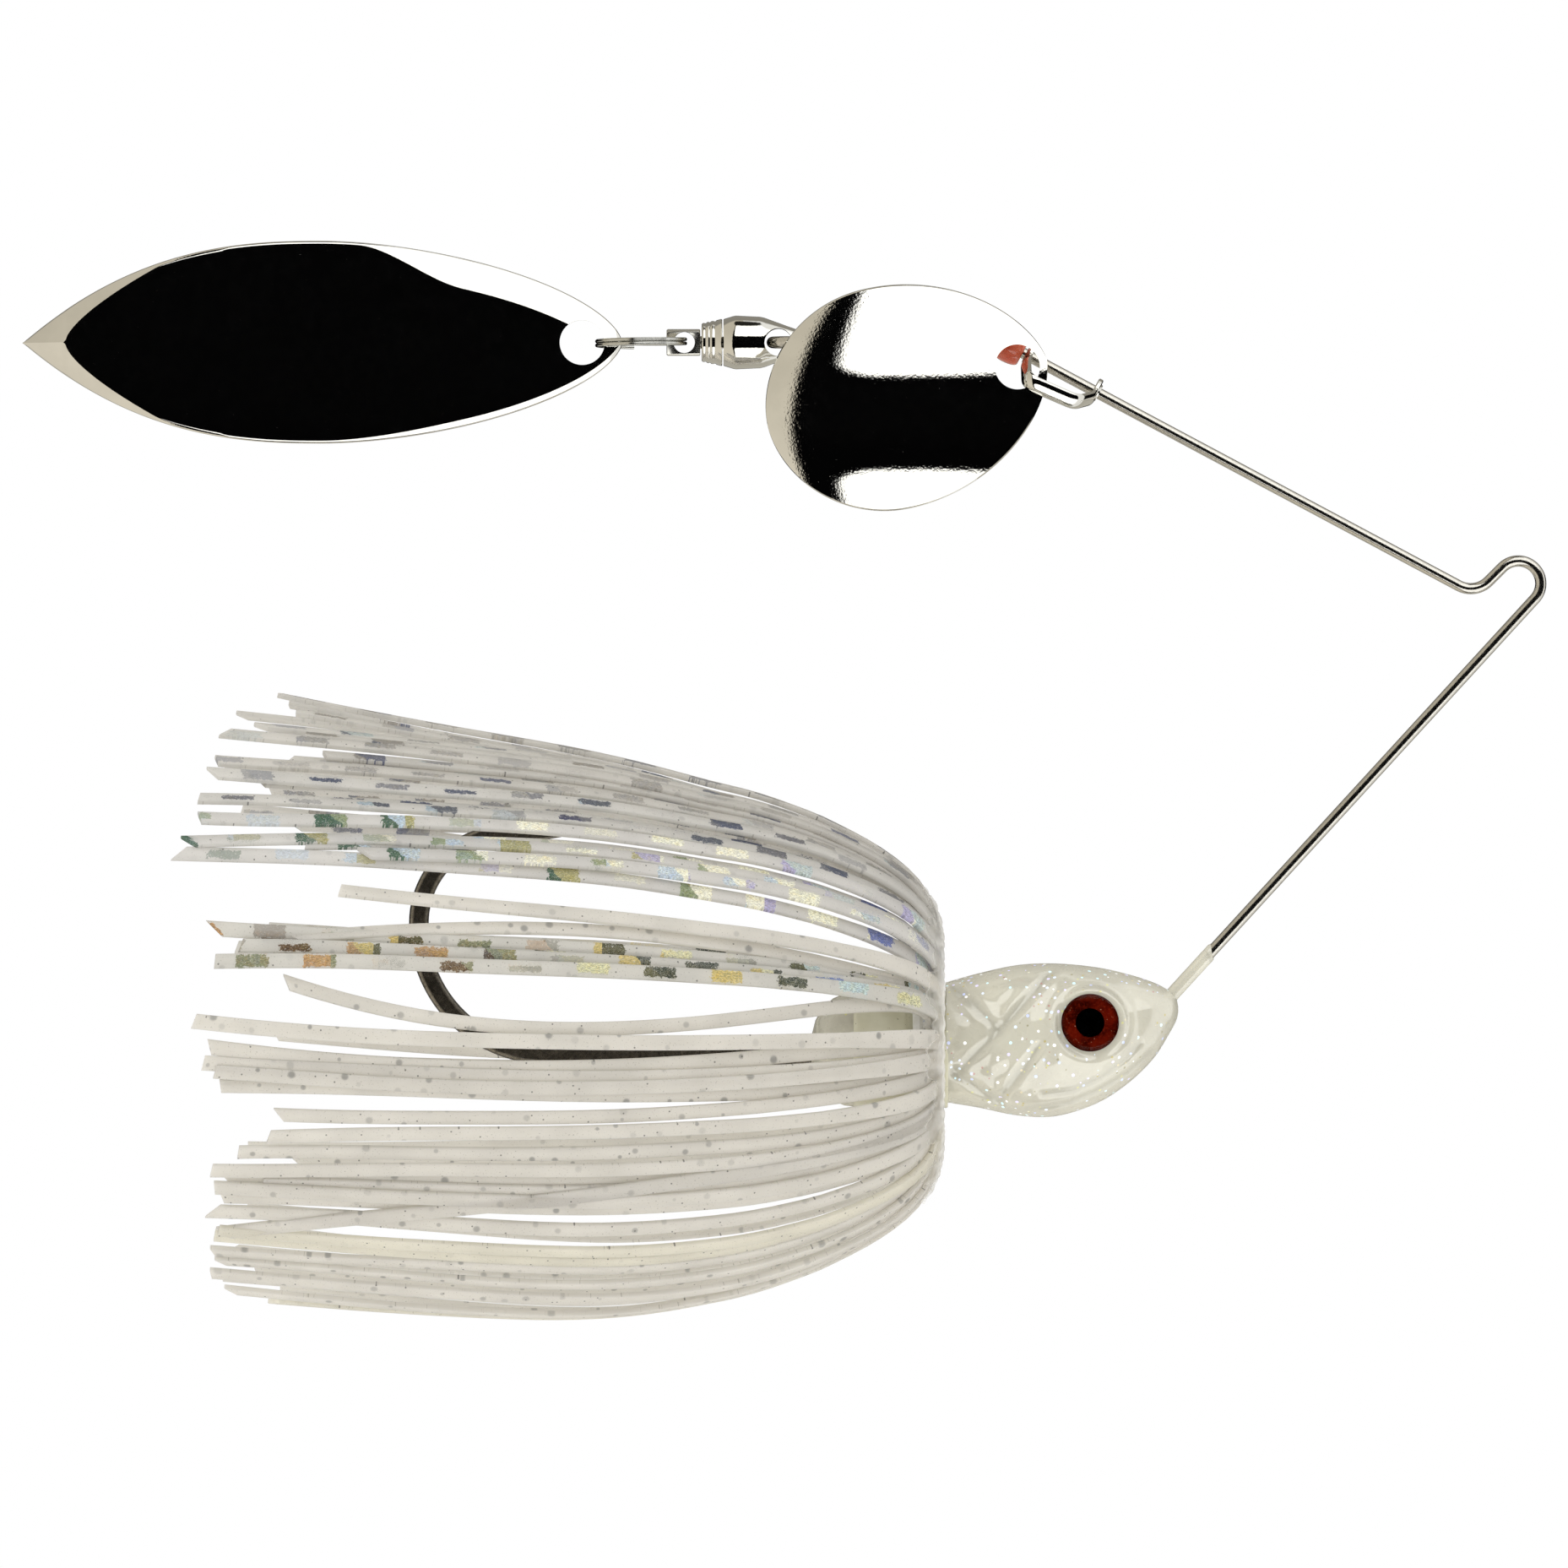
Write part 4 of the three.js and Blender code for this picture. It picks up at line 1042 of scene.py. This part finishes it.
SILICONES = {
    "grey": silicone("silicone_grey_foil", (0.66, 0.635, 0.585), (GREY_FOIL, 0.9, 0.8, 0.0, 1.1), 0.35, 1.0,
                     0.88,
                     0.15),
    "mixed": silicone("silicone_navy_foil", (0.68, 0.66, 0.615), (NAVY_FOIL, 0.95, 0.9, 0.0, 0.95), 0.3, 2.0,
                      0.92,
                      0.1),
    "bright": silicone("silicone_bright_foil", (0.69, 0.67, 0.635), (BRIGHT_FOIL, 0.95, 1.0, 0.6, 1.3), 0.2,
                       3.0,
                       0.95, 0.1),
    "gold": silicone("silicone_gold_foil", (0.68, 0.66, 0.605), (GOLD_FOIL, 0.95, 1.0, 0.6, 1.2), 0.35, 4.0,
                     0.95,
                     0.1),
    "speckled": silicone("silicone_speckled", MILK, None, 0.75, 5.0),
    "cream": silicone("silicone_cream", CREAM, None, 0.12, 6.0),
}


def build_skirt():
    rng = random.Random(41)
    piles, lot = {}, 0
    for name, (kind, strands, sway) in BUNDLES.items():
        piles[name] = Pile()
        for k, (root, middle, tip, tip_x) in enumerate(strands):
            strand(piles[name], rng, lot, (root, middle, tip), tip_x, (k + lot) % 3, sway)
            lot += 1
    stands_for = {name: [] for name in piles}
    for k in range(20):
        angle = (k + 0.5) * 18

        def gap(name):
            return min(abs((angle - row[1] + 180) % 360 - 180) for row in BUNDLES[name][1])

        stands_for[min(piles, key=gap)].append(f"skirt_tuft_{k + 1:02d}")
    for name, pile in piles.items():
        make(f"skirt_{name}", pile, [SILICONES[BUNDLES[name][0]]], "frame", stands_for[name],
             sharp=50)


build_skirt()


def build_web():
    """The uncut silicone at the strands' roots, stretched in wrinkles over the collar."""
    rng = random.Random(9)
    line = through(STRAND_LINE, 240)
    last = max(i for i, p in enumerate(line) if p.y < 12.6)
    around, rows = 360, 34
    phases = [rng.uniform(0, math.tau) for _ in range(4)]
    verts, ends = [], []
    for skin in (0.34, 0.12):
        for i in range(rows):
            for k in range(around):
                a = math.tau * k / around
                torn = 0.86 + 0.09 * math.sin(a * 13 + phases[0]) + 0.05 * math.sin(a * 37 + phases[1])
                at = i / (rows - 1) * torn * last
                p, q = line[int(at)], line[int(at) + 1]
                t = (q - p).normalized()
                p = p.lerp(q, at - int(at))
                swell = smoothstep(4.6, 6.5, p.y)
                wrinkle = math.sin(p.y * 5.2 + 1.8 * math.sin(a * 5 + phases[2]) + math.sin(a * 17))
                lift = skin + swell * (0.075 * wrinkle + 0.05 * math.sin(a * 44 + phases[3]))
                r = p.y + t.x * lift
                verts.append(Vector((COLLAR_X - p.x + t.y * lift, -math.cos(a) * r,
                                     HEAD_AXIS_Z + math.sin(a) * r)))
                ends.append(i / (rows - 1))

    def strip(a, b):
        return [[a + k, a + (k + 1) % around, b + (k + 1) % around, b + k] for k in range(around)]

    faces = []
    for i in range(rows - 1):
        faces += strip(i * around, (i + 1) * around) + strip((rows + i) * around, (rows + i + 1) * around)
    faces += strip(0, rows * around) + strip((rows - 1) * around, (2 * rows - 1) * around)
    pile = Pile(verts, faces, end=ends)
    make("skirt_web", pile, [clear_silicone()], "frame", sharp=80)


def clear_silicone():
    # Painted light: the web glows by emission, lifting the shade over the collar.
    s = Shader("silicone_clear", Emission_Strength=0.2, Subsurface_Weight=0.2, **SOFT)
    tone = s.mix(s.range(s.noise(1.1, 3), 0.35, 0.7), (0.93, 0.92, 0.89), (0.80, 0.78, 0.73))
    s.set("Base Color", tone)
    s.set("Emission Color", tone)
    s.set("Alpha", s.range(s.mark("end"), 0.45, 0.95, 0.70, 0.0))
    s.set("Roughness", s.range(s.noise(2.5, 2), 0.3, 0.7, 0.04, 0.16))
    s.lit_through(tone, 0.3)
    s.bump(s.noise(2.2, 3, 0.6), 0.05)
    return s.material


build_web()

# ---- blades ----

BLADE_HOLE_R = 1.78
BLADE_THICKNESS = 0.4


def build_blade(name, length, shape, rise, place, material, body, node, hole, rows=110, across=52):
    """A thin pressed plate. shape(t) is its half width, rise(t, v) how far it stands towards -Y."""
    steps = [(1 - math.cos(math.pi * k / rows)) / 2 for k in range(rows + 1)]
    columns = [math.sin(math.pi / 2 * (2 * k / across - 1)) for k in range(across + 1)]
    verts = []
    size = 2 * (across + 1) + 2
    half_t = BLADE_THICKNESS / 2
    for t in steps:
        half = max(shape(t), 0.05)
        front = [(v, rise(t, v)) for v in columns]
        edge = min(0.12, half * 0.3)
        for v, y in front:
            verts.append((t * length, -y - half_t, v * (half - edge)))
        verts.append((t * length, -front[-1][1], half))
        for v, y in reversed(front):
            verts.append((t * length, -y + half_t, v * (half - edge)))
        verts.append((t * length, -front[0][1], -half))
    faces = rings_to_faces(len(steps), size)
    pile = Pile([place(*v) for v in verts], faces)
    obj = make(name, pile, [material], body, [node], sharp=50)
    cut(obj, [cutter_rod(hole - Y * 5, hole + Y * 5, BLADE_HOLE_R, 64)])


WILLOW_LENGTH = 47.4


def willow_shape(t):
    u = abs(2 * t - 1)
    return 8.0 * (max(1 - u ** 1.78, 0) ** 0.61 if t < 0.5 else 1 - u ** 2.5)


def willow_margin(a, upper):
    """Width of the pressed-back margin, a mm from the hole end."""
    s = WILLOW_LENGTH - a
    if s < 16:
        fold = 1.5 * (s - 3.3) ** 0.69 if s > 3.3 else 1.1 * (s - 3.3)
        return max(0.22, willow_shape(a / WILLOW_LENGTH) - fold)
    if upper:
        return 0.12 + 2.25 * smoothstep(20.8, 12.5, a) * smoothstep(-4, 3, a)
    return 0.12 + 0.35 * smoothstep(24, 12, a)


def willow_rise(t, v):
    half = max(willow_shape(t), 0.05)
    dish = 0.5 * math.sin(math.pi * t) ** 0.9 * (1 - 0.9 * v * v) + 0.7 * math.sin(math.pi * t)
    beyond = max(0.0, abs(v) * half - half + willow_margin(t * WILLOW_LENGTH, v > 0))
    return dish - (0.42 * beyond if beyond > 0.1 else 2.1 * beyond * beyond) + (0.021 if beyond > 0.1 else 0)


def place_willow(a, y, w):
    return Vector((-70.75 - a, y, AXIS_Z + w))


WILLOW_HOLE = Vector((-73.9, 0, AXIS_Z))
build_blade("willow_blade_mirror", WILLOW_LENGTH, willow_shape, willow_rise, place_willow, NICKEL,
            "willow", "willow_blade", WILLOW_HOLE, rows=190, across=150)

COLORADO_HOLE = Vector((-39.6, -3.2, 17.0))
COLORADO_TURN = math.radians(193.6)
COLORADO_LENGTH = 22.6
COLORADO_HALF = 8.85
COLORADO_LEAN = 0.132


def colorado_shape(t):
    widest = 0.57
    u = 1 - t / widest if t < widest else (t - widest) / (1 - widest)
    return COLORADO_HALF * max(1 - u * u, 0) ** (0.62 if t < widest else 0.53)


def turned_colorado(a, w):
    """From the blade's own length and width to the row's X and Z."""
    c, s = math.cos(COLORADO_TURN), math.sin(COLORADO_TURN)
    return a * c + w * s, a * s - w * c


def colorado_rise(t, v):
    x, z = turned_colorado((t - 0.5) * COLORADO_LENGTH, v * colorado_shape(t))
    return 2.38 - (0.031 * x * x + 0.060 * z * z) / 2


def place_colorado(a, y, w):
    x, z = turned_colorado(a - 2.4, w)
    return COLORADO_HOLE + Vector((x, y + COLORADO_LEAN * z + 0.55, z))


build_blade("colorado_blade_mirror", COLORADO_LENGTH, colorado_shape, colorado_rise, place_colorado,
            GRAINY_NICKEL, "colorado", "colorado_blade", COLORADO_HOLE)

# ---- clevis and beads ----

CLEVIS_START = arm_point(CLEVIS_START_X)
DOWN = Vector((-ARM.z, 0, ARM.x))
DEPTH = DOWN * math.cos(CLEVIS_TILT) - Y * math.sin(CLEVIS_TILT)


def clevis_point(along, depth):
    return CLEVIS_START + ARM * along + DEPTH * depth


def build_clevis():
    corners = [clevis_point(CLEVIS_SPAN, 0.85), clevis_point(CLEVIS_SPAN, 1.7),
               clevis_point(CLEVIS_SPAN - 0.7, CLEVIS_DEPTH), clevis_point(0.9, CLEVIS_DEPTH - 0.9),
               clevis_point(0, 1.7), clevis_point(0, 0.85)]
    path = rounded(corners, [0.8, 0.9, 1.3, 0.8], step=7, longest=0.6)
    width = ARM.cross(DEPTH).normalized()
    # The strap is pressed round: its outside bulges and its inside is nearly flat.
    bends = [math.radians(a) for a in range(-84, 85, 12)]
    outside = [(0.70 * math.sin(a), 0.42 * math.cos(a) - 0.14) for a in bends]
    inside = [(0.66 * math.sin(a), 0.10 * math.cos(a) - 0.20) for a in reversed(bends)]
    pile = Pile(*sweep(path, width, lambda i, n: outside + inside))
    for along in (0, CLEVIS_SPAN):
        ear = [(-0.2, 0.66), (-0.2, 1.0), (-0.12, 1.1), (0.12, 1.1), (0.2, 1.0), (0.2, 0.74), (0.34, 0.66),
               (0.3, 0.6), (-0.1, 0.6), (-0.2, 0.66)]
        flip = 1 if along == CLEVIS_SPAN else -1
        pile.add(*turned([(a * flip, r) for a, r in ear], 40, clevis_point(along, 0), ARM, width))
    make("clevis_folded", pile, [PRESSED_NICKEL], "clevis_body", ["clevis"], sharp=38)


build_clevis()


def build_beads():
    for n, body in ((1, "front_bead"), (2, "rear_bead")):
        along = CLEVIS_SPAN + 0.45 + (n - 0.5) * 2.55
        loop = [(1.15 * math.cos(a),
                 0.97 + 0.38 * math.sin(a)) for a in [math.tau * k / 28 for k in range(28)]]
        loop = [(p, max(r, 0.66)) for p, r in loop]
        pile = Pile(*turned(loop + [loop[0]], 48, clevis_point(along, 0), ARM, Y))
        make(f"bead_{n}_glossy", pile, [BEAD], body, [f"bead_{n}"])


BEAD = red_bead()
build_beads()

# ---- swivel and split ring ----


def on_axis(x):
    return Vector((x, 0, AXIS_Z))


def build_swivel():
    shell = [(56.2, 0), (56.2, 0.3), (56.3, 0.6), (56.75, 0.96), (57.75, 1.31), (59.4, 1.91), (59.55, 1.96),
             (59.85, 2.03), (61.75, 2.12), (61.95, 2.09), (62.70, 1.86), (62.75, 1.8), (62.75, 0)]
    pile = Pile(*turned(shell, 96, on_axis(0), -X, Y))
    body = make("swivel_bullet", pile, [PRESSED_NICKEL], "swivel", ["swivel_body"])
    cut(body, [cutter_rod(on_axis(SWIVEL_EYE_X) - Y * 3, on_axis(SWIVEL_EYE_X) + Y * 3, 1.1, 64),
               cutter_rod(on_axis(-63), on_axis(-59.95), 0.72)], bevel=0.05)
    cap = [(62.85, 1.32), (62.85, 1.80), (62.92, 1.86), (63.3, 1.76), (63.36, 1.68), (63.48, 1.67),
           (63.55, 1.71),
           (63.72, 1.68), (63.78, 1.61), (63.88, 1.60), (63.94, 1.64), (64.06, 1.6), (64.12, 1.53),
           (64.22, 1.52),
           (64.28, 1.55), (64.4, 1.52), (64.47, 1.44), (64.47, 0.7), (64.1, 0.7), (64.1, 1.32),
           (62.85, 1.32)]
    pile = Pile(*turned(cap, 64, on_axis(0), -X, Y))
    make("swivel_cap_pressed", pile, [PRESSED_NICKEL], "swivel", ["swivel_cap"], sharp=50)
    shaft = [(60.1, 0), (60.1, 0.34), (60.16, 0.42), (60.3, 0.46), (62.95, 0.46), (62.95, 1.1), (63.25, 1.1),
             (63.25, 0.5), (64.58, 0.5), (64.58, 0.98), (64.66, 1.055), (67.14, 1.055), (67.24, 0.96),
             (67.24, 0)]
    pile = Pile(*turned(shaft, 64, on_axis(0), -X, Y))
    eye = make("swivel_eye_lug", pile, [LUG_NICKEL], "swivel_eye", ["swivel_shaft"])
    hole = on_axis(LUG_HOLE_X)
    tools = [cutter_rod(hole - Y * 3, hole + Y * 3, 0.84, 64)]
    for side in (-1, 1):
        # The flats are not quite upright: they lean in at the bottom.
        flat = Pile()
        flat.add([(x, side * (y + (0 if y > 1 else 0.17 * z)), AXIS_Z + z)
                  for x in (-68, -64.5) for y in (0.6, 3.0) for z in (-1.5, 1.5)],
                 [(0, 1, 3, 2), (4, 6, 7, 5), (0, 4, 5, 1), (2, 3, 7, 6), (0, 2, 6, 4), (1, 5, 7, 3)])
        tools.append(make("cutter", flat, [], None))
    cut(eye, tools, bevel=0.07)


build_swivel()


def build_split_ring():
    steps, turns = 190, 1.94
    path = []
    for k in range(steps + 1):
        t = k / steps
        a = math.tau * (t * turns + 0.28)
        step = 0.31 * (t - 0.5) * turns
        path.append(Vector((RING_X + RING_R * math.cos(a), RING_R * math.sin(a), AXIS_Z + step)))
    pile = Pile(*sweep(path, Z, lambda i, n: slab(0.27, 0.56, 0.07)))
    make("split_ring_coil", pile, [RING_STEEL], "ring", ["split_ring"], sharp=50)


build_split_ring()

for k in range(6):
    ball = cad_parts[f"bearing_ball_{k + 1}"]
    ball.data.materials.clear()
    ball.data.materials.append(BALL_STEEL)

# ---- room, light and camera ----

FRAME_W = 0.1238
LOOK_AT = Vector((-0.05797, 0, -0.01583))
DISTANCE = 1.2


def build_room():
    pile = Pile(*turned([(0, 0), (0, 900), (4, 900), (4, 0)], 96, Vector((-58, 0, -166)), Z, X))
    floor = make("floor", pile, [floor_paint()], None)
    floor.visible_glossy = False


build_room()


BLACK = (0.0012, 0.0012, 0.0013)


def build_world():
    """White all round. What polished metal mirrors is a studio: soft boxes, and a dark room between them."""
    world = bpy.data.worlds.new("studio")
    bpy.context.scene.world = world
    world.use_nodes = True
    tree = world.node_tree
    tree.nodes.clear()

    def node(kind, *values, **props):
        n = tree.nodes.new(kind)
        for key, value in props.items():
            setattr(n, key, value)
        for socket, value in zip(n.inputs, values):
            if isinstance(value, bpy.types.NodeSocket):
                tree.links.new(value, socket)
            elif value is not None:
                socket.default_value = value
        return n

    def step(value, low, high):
        return node("ShaderNodeMapRange", value, low, high, 0.0, 1.0,
                    interpolation_type="SMOOTHSTEP").outputs[0]

    def calc(operation, a, b=0.0):
        return node("ShaderNodeMath", a, b, operation=operation).outputs[0]

    def blend(factor, a, b):
        n = node("ShaderNodeMix", factor, data_type="RGBA")
        for socket, value in ((n.inputs[6], a), (n.inputs[7], b)):
            if isinstance(value, bpy.types.NodeSocket):
                tree.links.new(value, socket)
            else:
                socket.default_value = (*value, 1)
        return n.outputs[2]

    direction = node("ShaderNodeTexCoord").outputs["Generated"]
    x, y, z = node("ShaderNodeSeparateXYZ", direction).outputs
    turn = calc("ARCTAN2", x, calc("MULTIPLY", y, -1.0))
    high = calc("ABSOLUTE", z)
    # The big soft boxes above and below: their corner is round.
    aside = calc("SUBTRACT", 1.0, node("ShaderNodeMapRange", turn, -0.384, -0.134, 0.0, 1.0).outputs[0])
    under = calc("SUBTRACT", 1.0, node("ShaderNodeMapRange", high, 0.42, 0.54, 0.0, 1.0).outputs[0])
    corner = calc("SQRT", calc("ADD", calc("MULTIPLY", aside, aside), calc("MULTIPLY", under, under)))
    front = blend(step(corner, 1.0, 0.78), BLACK, (1.6, 1.6, 1.56))
    front = blend(step(turn, 1.12, 1.2), front, (1.0, 1.0, 0.98))
    wall = blend(step(z, -0.8, 0.8), (0.80, 0.745, 0.63), (0.62, 0.575, 0.475))
    front = blend(step(turn, -0.54, -0.57), front, wall)
    front = blend(step(high, 0.955, 0.985), front, (0.02, 0.019, 0.016))
    rear = blend(step(z, -0.1, 0.3), (0.52, 0.50, 0.44), (0.30, 0.285, 0.25))
    rear = blend(step(high, 0.24, 0.34), BLACK, rear)
    sides = blend(step(y, 0.24, 0.40), front, rear)
    mirrored = node("ShaderNodeBackground", sides, 1.0)
    plain = node("ShaderNodeBackground", (1, 1, 1, 1), 1.0)
    rays = node("ShaderNodeLightPath").outputs
    choose = node("ShaderNodeMixShader", rays["Is Glossy Ray"], plain.outputs[0], mirrored.outputs[0])
    out = node("ShaderNodeOutputWorld")
    tree.links.new(choose.outputs[0], out.inputs[0])


build_world()


def lamp(name, at, size, watts):
    light = bpy.data.lights.new(name, "AREA")
    light.size = size
    light.energy = watts
    obj = bpy.data.objects.new(name, light)
    obj.location = at
    obj.rotation_euler = (LOOK_AT - Vector(at)).to_track_quat("-Z", "Y").to_euler()
    obj.visible_glossy = False
    obj.visible_camera = False
    bpy.context.scene.collection.objects.link(obj)


lamp("key", (-0.5, -0.8, 0.8), 0.5, 1.6)
lamp("fill", (0.6, -0.9, 0.1), 0.5, 0.3)

camera = bpy.data.cameras.new("camera")
camera.sensor_width = 36
camera.lens = 36 * DISTANCE / FRAME_W
camera.clip_end = 20
eye = bpy.data.objects.new("camera", camera)
eye.location = LOOK_AT - Y * DISTANCE
eye.rotation_euler = (math.pi / 2, 0, 0)
bpy.context.scene.collection.objects.link(eye)
bpy.context.scene.camera = eye
bpy.context.scene.view_settings.view_transform = "Standard"
